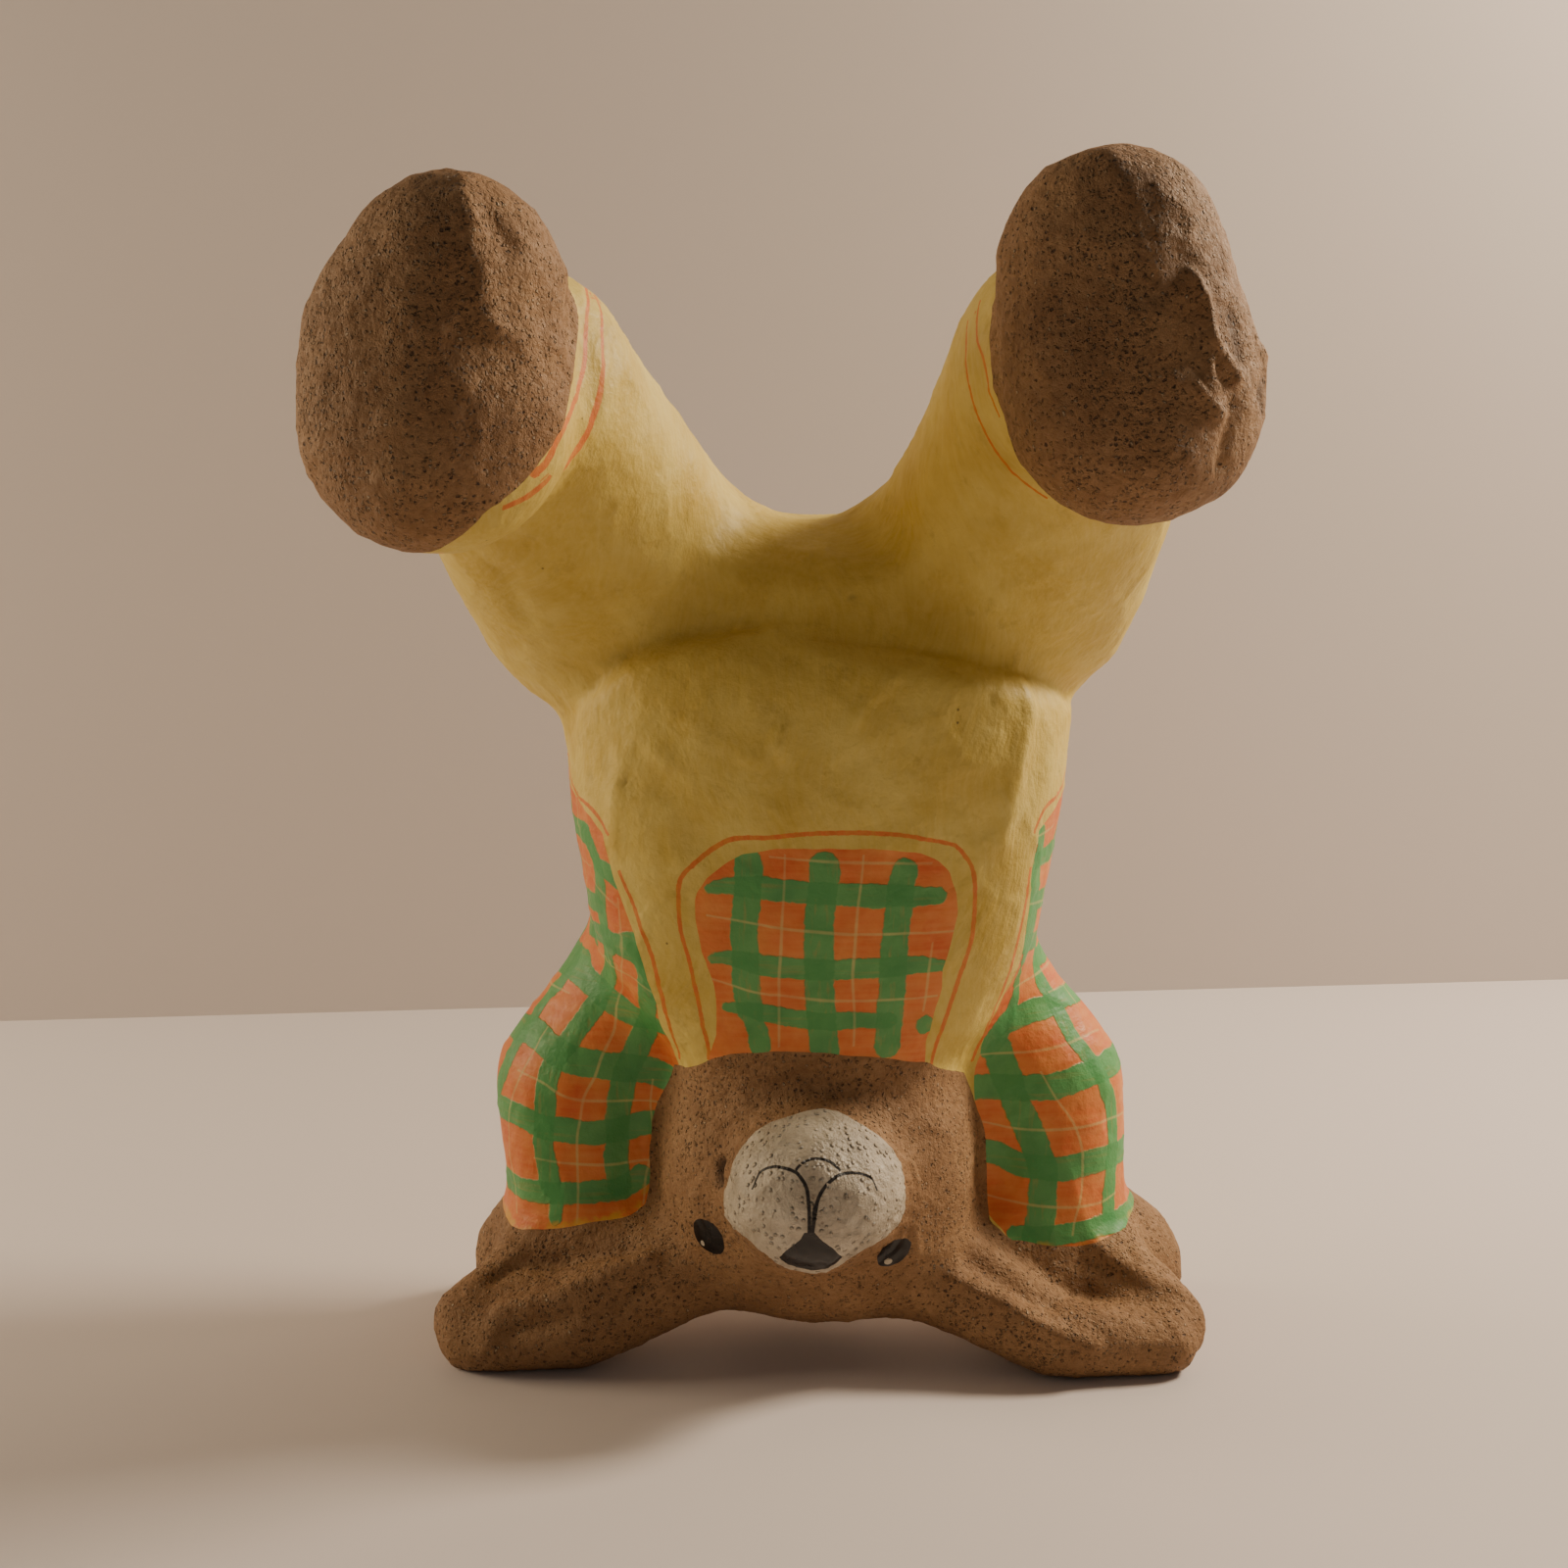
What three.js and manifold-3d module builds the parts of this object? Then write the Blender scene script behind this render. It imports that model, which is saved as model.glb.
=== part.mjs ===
// A papier-mache animal in dungarees, doing a handstand: it stands on its two hands and on its long ears,
// its head hangs clear of the table between them, and its legs kick up, apart and forwards.
// It is one hollow shell of pasted paper, sealed all round, so it is one solid here.
// Millimetres, +Z up, the figure's front towards -Y. The origin is on the table, under the middle of the figure.
// Upside down, its own left side is on the left as seen from the front.
import * as THREE from "three";
import { mergeVertices } from "three/addons/utils/BufferGeometryUtils.js";
import Module from "manifold-3d";

// Driving dimensions. The pose and proportions below are drawn for a figure DRAWN_HEIGHT tall.
const HEIGHT = 404; // table to the top of the higher foot
const DRAWN_HEIGHT = 404;
const share = HEIGHT / DRAWN_HEIGHT;

// A ball of the figure: its centre and radius as drawn.
const ball = (x, y, z, r) => ({ c: new THREE.Vector3(x, y, z).multiplyScalar(share), r: r * share });

// Trunk, from the neck at the bottom to the seat at the top: height, centre, half width and half depth.
const TRUNK_SQUARENESS = 3; // 2 is an ellipse
const TRUNK_RINGS = [
  { z: 96, x: 3, y: -12, w: 44, d: 50 },
  { z: 120, x: 3, y: -10, w: 60, d: 59 },
  { z: 146, x: 2, y: -8, w: 76, d: 67 },
  { z: 180, x: 2, y: -6, w: 83, d: 74 },
  { z: 212, x: 3, y: -4, w: 87, d: 79 },
  { z: 244, x: 2, y: -1, w: 83, d: 80 },
  { z: 262, x: 1, y: 6, w: 71, d: 72 },
  { z: 278, x: 0, y: 8, w: 57, d: 68 },
  { z: 293, x: 0, y: 12, w: 41, d: 55 },
].map(({ z, x, y, w, d }) => ({ z: z * share, x: x * share, y: y * share, w: w * share, d: d * share }));
const TRUNK_CAP = 26 * share; // rounding of the trunk's two ends

// Limbs are chains of balls, joined by tapering tubes. Each leg runs from the seat to the ankle, each foot from
// heel to toes, each arm from shoulder to wrist and each hand from wrist to palm.
const LEFT_LEG = [ball(-58, 6, 263, 46), ball(-68, -18, 275, 50), ball(-79, -44, 298, 47), ball(-93, -90, 334, 40)];
const RIGHT_LEG = [ball(59, 6, 263, 46), ball(67, -18, 278, 49), ball(75, -46, 303, 45), ball(83, -90, 342, 40)];
const LEFT_FOOT = [ball(-105, -132, 364, 33), ball(-112, -135, 345, 38.5), ball(-111, -136, 328, 41)];
const RIGHT_FOOT = [ball(86.5, -131, 370, 34), ball(94, -136, 336, 40.5)];
const LEFT_ARM = [ball(-57, 2, 122, 32), ball(-81, 0, 89, 33), ball(-81, -8, 46, 28)];
const RIGHT_ARM = [ball(59, 2, 120, 31), ball(83, 0, 87, 32), ball(87, -8, 46, 28)];
const LEFT_HAND = [ball(-86, -4, 37, 25), ball(-97, 6, 19, 27)];
const RIGHT_HAND = [ball(97, -2, 32, 24), ball(113, 8, 16, 27)];
const HEAD_SQUARENESS = 2.4;
const HEAD = { c: ball(3, -26, 66, 0).c, w: 55 * share, d: 50 * share, h: 54 * share };
const MUZZLE = { c: ball(1, -76, 73, 0).c, w: 30 * share, d: 28 * share, h: 27.5 * share };

// The feet are flattened: a plane through each sole and one along its side, by a point and an outward direction.
const plane = ([x, y, z], [nx, ny, nz]) => ({ at: ball(x, y, z, 0).c, out: new THREE.Vector3(nx, ny, nz).normalize() });
const LEFT_SOLE = [plane([-114, -164, 345], [-0.42, -0.9, 0.12]), plane([-86, -158, 345], [0.55, -0.83, 0.05])];
const RIGHT_SOLE = [plane([88, -166, 345], [-0.14, -0.98, 0.12]), plane([122, -150, 345], [0.72, -0.68, 0.1])];

// Each long ear is a lower roll and an upper roll that meet at the tip, with a hollow web between them.
const LEFT_EAR = {
  lower: [ball(-42, -38, 33, 18), ball(-80, -50, 17, 16.5), ball(-118, -51, 9.5, 11)],
  upper: [ball(-62, -30, 40, 12), ball(-98, -26, 30, 12), ball(-122, -42, 15, 11)],
  web: [ball(-66, -34, 24, 12), ball(-106, -37, 15, 9.5)],
};
const RIGHT_EAR = {
  lower: [ball(44, -42, 31, 17), ball(86, -57, 12.5, 13.5), ball(125, -53, 9, 11)],
  upper: [ball(66, -26, 40, 12), ball(106, -24, 32, 12), ball(129, -40, 15, 10)],
  web: [ball(66, -30, 23, 10.5), ball(108, -34, 15, 8.5)],
};

// Fillets, from broad to narrow.
const BLEND_CROTCH = 20 * share;
const BLEND_HIP = 8 * share; // from this far out, a thigh meets belly and flank in a crease
const HIP_FROM = 24 * share;
const HIP_TO = 46 * share;
const BLEND_ARM = 14 * share;
const BLEND_SOLE = 16 * share;
const BLEND_FACE = 8 * share;
const BLEND_EAR = 8 * share;

// The faceted solid's grid: the step across, and the steps up, which are shorter below the shoulders.
const FACET = 9.2 * share;
const FACET_HEIGHTS = [{ upTo: 116 * share, step: 7.7 * share }, { upTo: 430 * share, step: 12.5 * share }];
const AT_TABLE = 1.5 * share; // what comes this near to the table top rests flat on it
const SETTLING_TURNS = 4;

// Distance from (x, y, z) to a chain of balls.
function chain(balls) {
  return (x, y, z) => {
    let nearest = Infinity;
    for (let i = 0; i + 1 < balls.length; i++) {
      const { c: a, r: ra } = balls[i];
      const { c: b, r: rb } = balls[i + 1];
      const [ux, uy, uz] = [b.x - a.x, b.y - a.y, b.z - a.z];
      const [px, py, pz] = [x - a.x, y - a.y, z - a.z];
      const along = (px * ux + py * uy + pz * uz) / (ux * ux + uy * uy + uz * uz);
      const t = Math.min(1, Math.max(0, along));
      const [dx, dy, dz] = [px - t * ux, py - t * uy, pz - t * uz];
      nearest = Math.min(nearest, Math.sqrt(dx * dx + dy * dy + dz * dz) - ra - t * (rb - ra));
    }
    return nearest;
  };
}

// Distance to an egg with half width w, half depth d and half height h, squarer with a higher power.
function egg({ c, w, d, h }, power) {
  const least = Math.min(w, d, h);
  return (x, y, z) => {
    const across = Math.abs((x - c.x) / w) ** power;
    const along = Math.abs((y - c.y) / d) ** power;
    const up = Math.abs((z - c.z) / h) ** power;
    return ((across + along + up) ** (1 / power) - 1) * least;
  };
}

// Two distances joined with a fillet of about k.
function blend(a, b, k) {
  const h = Math.max(k - Math.abs(a - b), 0) / k;
  return Math.min(a, b) - (h * h * k) / 4;
}

// A shape trimmed softly by planes.
function flattened(shape, planes) {
  return (x, y, z) => {
    let d = shape(x, y, z);
    for (const { at, out } of planes) {
      const above = (x - at.x) * out.x + (y - at.y) * out.y + (z - at.z) * out.z;
      d = -blend(-d, -above, BLEND_SOLE);
    }
    return d;
  };
}

// A smooth curve through the rings' own values at a height.
function ringAt(rings, height, key) {
  const last = rings.length - 1;
  let i = 0;
  while (i < last - 1 && height > rings[i + 1].z) i++;
  const slope = (n) => {
    const [before, after] = [rings[Math.max(n - 1, 0)], rings[Math.min(n + 1, last)]];
    return (after[key] - before[key]) / (after.z - before.z);
  };
  const [a, b] = [rings[i], rings[i + 1]];
  const gap = b.z - a.z;
  const t = (height - a.z) / gap;
  const rise = b[key] - a[key];
  const bow = (1 - t) * (slope(i) * gap - rise) - t * (slope(i + 1) * gap - rise);
  return a[key] + t * rise + t * (1 - t) * bow;
}

function trunk(x, y, z) {
  const rings = TRUNK_RINGS;
  const [foot, top] = [rings[0].z, rings[rings.length - 1].z];
  const height = Math.min(top, Math.max(foot, z));
  const [w, d] = [ringAt(rings, height, "w"), ringAt(rings, height, "d")];
  const [across, along] = [(x - ringAt(rings, height, "x")) / w, (y - ringAt(rings, height, "y")) / d];
  const n = TRUNK_SQUARENESS;
  const round = (Math.abs(across) ** n + Math.abs(along) ** n) ** (1 / n);
  const side = (round - 1) * Math.min(w, d);
  const end = Math.max(foot - z, z - top);
  return -blend(-side, -end, TRUNK_CAP);
}

const leftLeg = chain(LEFT_LEG);
const rightLeg = chain(RIGHT_LEG);
const leftFoot = flattened(chain(LEFT_FOOT), LEFT_SOLE);
const rightFoot = flattened(chain(RIGHT_FOOT), RIGHT_SOLE);
const leftArm = chain(LEFT_ARM);
const rightArm = chain(RIGHT_ARM);
const leftHand = chain(LEFT_HAND);
const rightHand = chain(RIGHT_HAND);
const head = egg(HEAD, HEAD_SQUARENESS);
const muzzle = egg(MUZZLE, 2);

function ear({ lower, upper, web }) {
  const [low, high, between] = [chain(lower), chain(upper), chain(web)];
  return (x, y, z) => blend(blend(low(x, y, z), high(x, y, z), BLEND_EAR), between(x, y, z), BLEND_EAR);
}
const leftEar = ear(LEFT_EAR);
const rightEar = ear(RIGHT_EAR);

// Distance to the paper's outer face, below zero inside the figure.
function figure(x, y, z) {
  let d = trunk(x, y, z);
  const hip = THREE.MathUtils.smoothstep(Math.abs(x), HIP_FROM, HIP_TO);
  const fillet = THREE.MathUtils.lerp(BLEND_CROTCH, BLEND_HIP, hip);
  for (const leg of [leftLeg, rightLeg]) d = blend(d, leg(x, y, z), fillet);
  for (const foot of [leftFoot, rightFoot]) d = blend(d, foot(x, y, z), BLEND_FACE);
  for (const arm of [leftArm, rightArm]) d = blend(d, arm(x, y, z), BLEND_ARM);
  d = blend(d, head(x, y, z), BLEND_ARM);
  d = blend(d, muzzle(x, y, z), BLEND_FACE);
  for (const part of [leftHand, rightHand, leftEar, rightEar]) d = blend(d, part(x, y, z), BLEND_EAR);
  return d;
}

// A box with room to spare round the figure.
const LIMITS = new THREE.Box3(ball(-175, -200, -26, 0).c, ball(175, 110, 430, 0).c);

function gridLines() {
  const even = (from, to) => {
    const count = Math.ceil((to - from) / FACET) + 1;
    return Array.from({ length: count }, (_, i) => from + i * FACET);
  };
  const heights = [LIMITS.min.z];
  for (const { upTo, step } of FACET_HEIGHTS)
    while (heights[heights.length - 1] < upTo) heights.push(heights[heights.length - 1] + step);
  return [even(LIMITS.min.x, LIMITS.max.x), even(LIMITS.min.y, LIMITS.max.y), heights];
}

// The surface where the field is zero, as quads between the cells of a grid that it crosses.
function surface(field, [xs, ys, zs]) {
  const [nx, ny, nz] = [xs.length, ys.length, zs.length];
  const at = (i, j, k) => (k * ny + j) * nx + i;
  const value = new Float64Array(nx * ny * nz);
  for (let k = 0; k < nz; k++)
    for (let j = 0; j < ny; j++)
      for (let i = 0; i < nx; i++) value[at(i, j, k)] = field(xs[i], ys[j], zs[k]);

  // One point in each cell that the surface crosses, at the mean of the crossings on the cell's edges.
  const corners = [0, 1, 2, 3, 4, 5, 6, 7].map((n) => [n & 1, (n >> 1) & 1, n >> 2]);
  const edges = corners.flatMap((_, a) => [1, 2, 4].filter((bit) => !(a & bit)).map((bit) => [a, a | bit]));
  const points = [];
  const pointOf = new Map();
  for (let k = 0; k + 1 < nz; k++)
    for (let j = 0; j + 1 < ny; j++)
      for (let i = 0; i + 1 < nx; i++) {
        const sum = new THREE.Vector3();
        let crossings = 0;
        for (const [a, b] of edges) {
          const [p, q] = [corners[a], corners[b]];
          const va = value[at(i + p[0], j + p[1], k + p[2])];
          const vb = value[at(i + q[0], j + q[1], k + q[2])];
          if (va < 0 === vb < 0) continue;
          const t = va / (va - vb);
          sum.add(new THREE.Vector3(...p).lerp(new THREE.Vector3(...q), t));
          crossings++;
        }
        if (!crossings) continue;
        sum.divideScalar(crossings);
        pointOf.set(at(i, j, k), points.length);
        points.push(new THREE.Vector3(
          THREE.MathUtils.lerp(xs[i], xs[i + 1], sum.x),
          THREE.MathUtils.lerp(ys[j], ys[j + 1], sum.y),
          THREE.MathUtils.lerp(zs[k], zs[k + 1], sum.z),
        ));
      }

  // Draw each point onto the surface itself, along the field's slope.
  const reach = FACET / 20;
  for (const p of points) {
    for (let turn = 0; turn < SETTLING_TURNS; turn++) {
      const here = field(p.x, p.y, p.z);
      const slope = new THREE.Vector3(
        field(p.x + reach, p.y, p.z) - field(p.x - reach, p.y, p.z),
        field(p.x, p.y + reach, p.z) - field(p.x, p.y - reach, p.z),
        field(p.x, p.y, p.z + reach) - field(p.x, p.y, p.z - reach),
      ).divideScalar(2 * reach);
      const move = THREE.MathUtils.clamp(-here / Math.max(slope.lengthSq(), 0.1), -FACET / 4, FACET / 4);
      p.addScaledVector(slope, move);
    }
    if (Math.abs(p.z) < AT_TABLE) p.z = 0;
  }

  // Two triangles across each grid edge that the surface crosses, split along the quad's shorter diagonal.
  const faces = [];
  const axes = [[1, 0, 0], [0, 1, 0], [0, 0, 1]];
  for (let k = 1; k + 1 < nz; k++)
    for (let j = 1; j + 1 < ny; j++)
      for (let i = 1; i + 1 < nx; i++)
        axes.forEach((u, axis) => {
          const inside = value[at(i, j, k)] < 0;
          if (inside === value[at(i + u[0], j + u[1], k + u[2])] < 0) return;
          const [v, w] = [axes[(axis + 1) % 3], axes[(axis + 2) % 3]];
          const cell = (a, b) => {
            const [di, dj, dk] = v.map((_, n) => a * v[n] + b * w[n]);
            return pointOf.get(at(i - di, j - dj, k - dk));
          };
          const quad = [cell(1, 1), cell(0, 1), cell(0, 0), cell(1, 0)];
          if (!inside) quad.reverse();
          const [a, b, c, d] = quad;
          const level = points[a].distanceTo(points[c]) <= points[b].distanceTo(points[d]);
          faces.push(...(level ? [a, b, c, a, c, d] : [a, b, d, b, c, d]));
        });
  return new THREE.BufferGeometry()
    .setAttribute("position", new THREE.Float32BufferAttribute(points.flatMap((p) => [p.x, p.y, p.z]), 3))
    .setIndex(faces);
}

const wasm = await Module();
wasm.setup();

function solid(geometry) {
  const bare = geometry.clone();
  bare.deleteAttribute("normal");
  bare.deleteAttribute("uv");
  const merged = mergeVertices(bare, 1e-3);
  const vertProperties = new Float32Array(merged.attributes.position.array);
  const triVerts = new Uint32Array(merged.index.array);
  return new wasm.Manifold(new wasm.Mesh({ numProp: 3, vertProperties, triVerts }));
}

// What presses on the table is flat: everything under z = 0 is trimmed away.
function trimAtTable(geometry) {
  const size = LIMITS.getSize(new THREE.Vector3());
  const below = new THREE.BoxGeometry(2 * size.x, 2 * size.y, size.z).translate(0, 0, -size.z / 2);
  const { vertProperties, triVerts } = solid(geometry).subtract(solid(below)).getMesh();
  return new THREE.BufferGeometry()
    .setAttribute("position", new THREE.BufferAttribute(vertProperties, 3))
    .setIndex(new THREE.BufferAttribute(triVerts, 1));
}

const shell = trimAtTable(surface(figure, gridLines()));
shell.computeBoundingBox();
const middle = shell.boundingBox.getCenter(new THREE.Vector3());
shell.translate(-middle.x, -middle.y, 0);
shell.computeVertexNormals();

const paper = new THREE.MeshStandardMaterial({ color: 0xd9cc80, roughness: 0.75, metalness: 0 });
const animal = new THREE.Mesh(shell, paper);
animal.name = "handstand_animal";

const part = new THREE.Group();
part.add(animal);
export default part;
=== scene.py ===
import math
import bpy
import bmesh
import numpy as np
from mathutils import Matrix, Vector, noise
from mathutils.bvhtree import BVHTree


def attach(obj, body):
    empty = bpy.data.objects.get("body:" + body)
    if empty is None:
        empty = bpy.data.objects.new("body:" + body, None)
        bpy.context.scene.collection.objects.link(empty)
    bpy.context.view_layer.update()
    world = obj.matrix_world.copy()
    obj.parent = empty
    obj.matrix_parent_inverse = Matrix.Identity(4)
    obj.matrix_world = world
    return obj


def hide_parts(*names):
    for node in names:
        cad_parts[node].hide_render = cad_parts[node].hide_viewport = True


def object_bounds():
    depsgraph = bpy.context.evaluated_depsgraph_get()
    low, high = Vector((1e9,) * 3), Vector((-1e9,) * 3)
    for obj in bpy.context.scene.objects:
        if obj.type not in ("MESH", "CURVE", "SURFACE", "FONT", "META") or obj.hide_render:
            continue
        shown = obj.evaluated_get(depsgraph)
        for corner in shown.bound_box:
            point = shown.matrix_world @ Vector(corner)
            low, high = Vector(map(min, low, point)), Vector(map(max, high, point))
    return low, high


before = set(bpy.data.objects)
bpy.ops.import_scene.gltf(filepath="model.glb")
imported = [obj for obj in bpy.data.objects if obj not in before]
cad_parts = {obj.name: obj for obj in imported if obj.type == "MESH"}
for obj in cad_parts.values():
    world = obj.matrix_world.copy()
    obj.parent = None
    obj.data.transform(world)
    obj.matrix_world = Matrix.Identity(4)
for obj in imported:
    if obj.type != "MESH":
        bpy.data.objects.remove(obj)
cad_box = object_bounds()


# The camera: a hand-held one, 0.8 m before the figure and a little above its middle, looking slightly down.
# Places on the figure are given in millimetres from the origin it was drawn about; DRAWING_SHIFT brings
# them to the middle of its bounding box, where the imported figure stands.
DRAWING_SHIFT = np.array((5.753, 43.877, 0.0))
CAMERA_PLACE = np.array((-9.0, -800.0, 320.0))
CAMERA_TILT = math.radians(81.35)
PHOTO_WIDTH = 1600
PHOTO_MIDDLE = PHOTO_WIDTH / 2
SENSOR_WIDTH = 36.0
PIXELS_TO_FOCUS = 2300.0

bpy.ops.object.select_all(action="DESELECT")
bpy.ops.object.camera_add(location=(CAMERA_PLACE + DRAWING_SHIFT) / 1000, rotation=(CAMERA_TILT, 0, 0))
camera = bpy.context.object
camera.name = "photo_camera"
camera.data.sensor_width = SENSOR_WIDTH
camera.data.lens = SENSOR_WIDTH * PIXELS_TO_FOCUS / PHOTO_WIDTH
camera.data.clip_start = 0.05
camera.data.dof.use_dof = False
bpy.context.scene.camera = camera


# The paper shell: strips of torn newsprint pasted over a rough form in several layers, closed all round and dried.
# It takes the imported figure's own form, made fine enough for the lumps, folds and creases that pasted paper dries
# with. The shell is one piece, from the soles down to the hands and ears that it stands on.
SAME_POINT = 0.00002
MESH_SPACING = 0.00224

figure = bpy.data.objects.new("painted_figure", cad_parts["handstand_animal"].data.copy())
bpy.context.scene.collection.objects.link(figure)
figure.data.materials.clear()
bpy.ops.object.select_all(action="DESELECT")
figure.select_set(True)
bpy.context.view_layer.objects.active = figure
bpy.ops.object.mode_set(mode="EDIT")
bpy.ops.mesh.select_all(action="SELECT")
bpy.ops.mesh.remove_doubles(threshold=SAME_POINT)
bpy.ops.object.mode_set(mode="OBJECT")

rounding = figure.modifiers.new("rounding", "SUBSURF")
rounding.levels = rounding.render_levels = 2
bpy.ops.object.modifier_apply(modifier="rounding")
pulp = figure.modifiers.new("pulp", "REMESH")
pulp.mode = "VOXEL"
pulp.voxel_size = MESH_SPACING
bpy.ops.object.modifier_apply(modifier="pulp")
rubbing = figure.modifiers.new("rubbing", "SMOOTH")
rubbing.factor = 0.5
rubbing.iterations = 5
bpy.ops.object.modifier_apply(modifier="rubbing")
thirds = figure.modifiers.new("thirds", "TRIANGULATE")
bpy.ops.object.modifier_apply(modifier="thirds")

# The small face is drawn with the finest brush, so its skin gets a finer mesh.
FACE_MIDDLE = np.array((0.0, -74.0, 62.0))
FACE_REACH = np.array((46.0, 34.0, 34.0))
for face in figure.data.polygons:
    place = (np.array(face.center) * 1000 - DRAWING_SHIFT - FACE_MIDDLE) / FACE_REACH
    face.select = bool((place * place).sum() < 1)
bpy.ops.object.mode_set(mode="EDIT")
bpy.ops.mesh.select_mode(type="FACE")
bpy.ops.mesh.subdivide(number_cuts=1)
bpy.ops.mesh.select_all(action="SELECT")
bpy.ops.mesh.quads_convert_to_tris()
bpy.ops.mesh.select_all(action="DESELECT")
bpy.ops.object.mode_set(mode="OBJECT")

# The skin's points and the way each one faces, in millimetres from the drawing's origin.
count = len(figure.data.vertices)
skin = np.zeros(count * 3)
figure.data.vertices.foreach_get("co", skin)
skin = skin.reshape(-1, 3) * 1000 - DRAWING_SHIFT
out = np.zeros(count * 3)
figure.data.vertices.foreach_get("normal", out)
out = out.reshape(-1, 3)
x, y, z = skin.T
touch = BVHTree.FromPolygons([Vector(p) for p in skin], [tuple(f.vertices) for f in figure.data.polygons])

# How far from the camera the figure lies, and a distance longer than any on it.
NEAREST_SIGHT, FARTHEST_SIGHT = 620, 960
BEYOND = 1e3


def seen_at(u, v):
    """The place on the skin that the photograph shows at a pixel, or the nearest to that line of sight."""
    across, up = (u - PHOTO_MIDDLE) / PIXELS_TO_FOCUS, (PHOTO_MIDDLE - v) / PIXELS_TO_FOCUS
    line = Matrix.Rotation(CAMERA_TILT, 3, "X") @ Vector((across, up, -1))
    line.normalize()
    eye = Vector(CAMERA_PLACE)
    place = touch.ray_cast(eye, line)[0]
    if place is None:
        tries = [touch.find_nearest(eye + line * reach) for reach in range(NEAREST_SIGHT, FARTHEST_SIGHT, 6)]
        place = min(tries, key=lambda found: found[3])[0]
    return np.array(place)


def hand_line(points, spacing=2.5):
    """A smooth path through places on the skin, resampled and laid back onto the skin."""
    points = np.array(points, float)
    ends = np.vstack((2 * points[0] - points[1], points, 2 * points[-1] - points[-2]))
    path = []
    for a, b, c, d in zip(ends, ends[1:], ends[2:], ends[3:]):
        steps = max(2, int(np.linalg.norm(c - b) / spacing))
        for t in np.arange(steps) / steps:
            path.append(0.5 * (2 * b + (c - a) * t + (2 * a - 5 * b + 4 * c - d) * t * t
                               + (3 * b - a - 3 * c + d) * t ** 3))
    path.append(points[-1])
    return np.array([touch.find_nearest(Vector(p))[0] for p in path])


def traced(pixels):
    """A path through pixels of the photograph."""
    return hand_line([seen_at(u, v) for u, v in pixels])


def near_line(path, reach, batch=4000):
    """The skin within reach of a path: which points, how far, how far to its left or right, and how far along it."""
    low, high = path.min(0) - reach, path.max(0) + reach
    found = np.flatnonzero(((skin > low) & (skin < high)).all(1))
    start, step = path[:-1], path[1:] - path[:-1] + 1e-9
    far, side, along = np.full(len(found), BEYOND), np.full(len(found), BEYOND), np.zeros(len(found))
    for part in range(0, len(found), batch):
        rows = found[part:part + batch]
        offset = skin[rows][:, None] - start
        t = np.clip((offset * step).sum(2) / (step * step).sum(1), 0, 1)
        gap = offset - t[..., None] * step
        size = np.linalg.norm(gap, axis=2)
        k = size.argmin(1)
        row = np.arange(len(rows))
        across = np.cross(step[k], out[rows])
        across /= np.linalg.norm(across, axis=1)[:, None] + 1e-9
        far[part:part + batch] = size[row, k]
        side[part:part + batch] = (across * gap[row, k]).sum(1)
        along[part:part + batch] = (k + t[row, k]) / len(step)
    return found, far, side, along


def mottle(size, seed=0.0):
    """Soft random lumps of a given size in millimetres, -1 to 1, one value for each point of the skin."""
    return np.array([noise.noise(Vector((a / size + seed, b / size - seed, c / size + 2 * seed))) for a, b, c in skin])


def scrap_edges(size, seed, edge=0.09):
    """How near each point is to the edge of a torn paper scrap of a given size in millimetres, 1 on the edge."""
    found = np.empty(count)
    for row, p in enumerate(skin):
        near, far = noise.voronoi(Vector((p[0] / size + seed, p[1] / size, p[2] / size - seed)))[0][:2]
        found[row] = far - near
    return np.exp(-(found / edge) ** 2)


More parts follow.
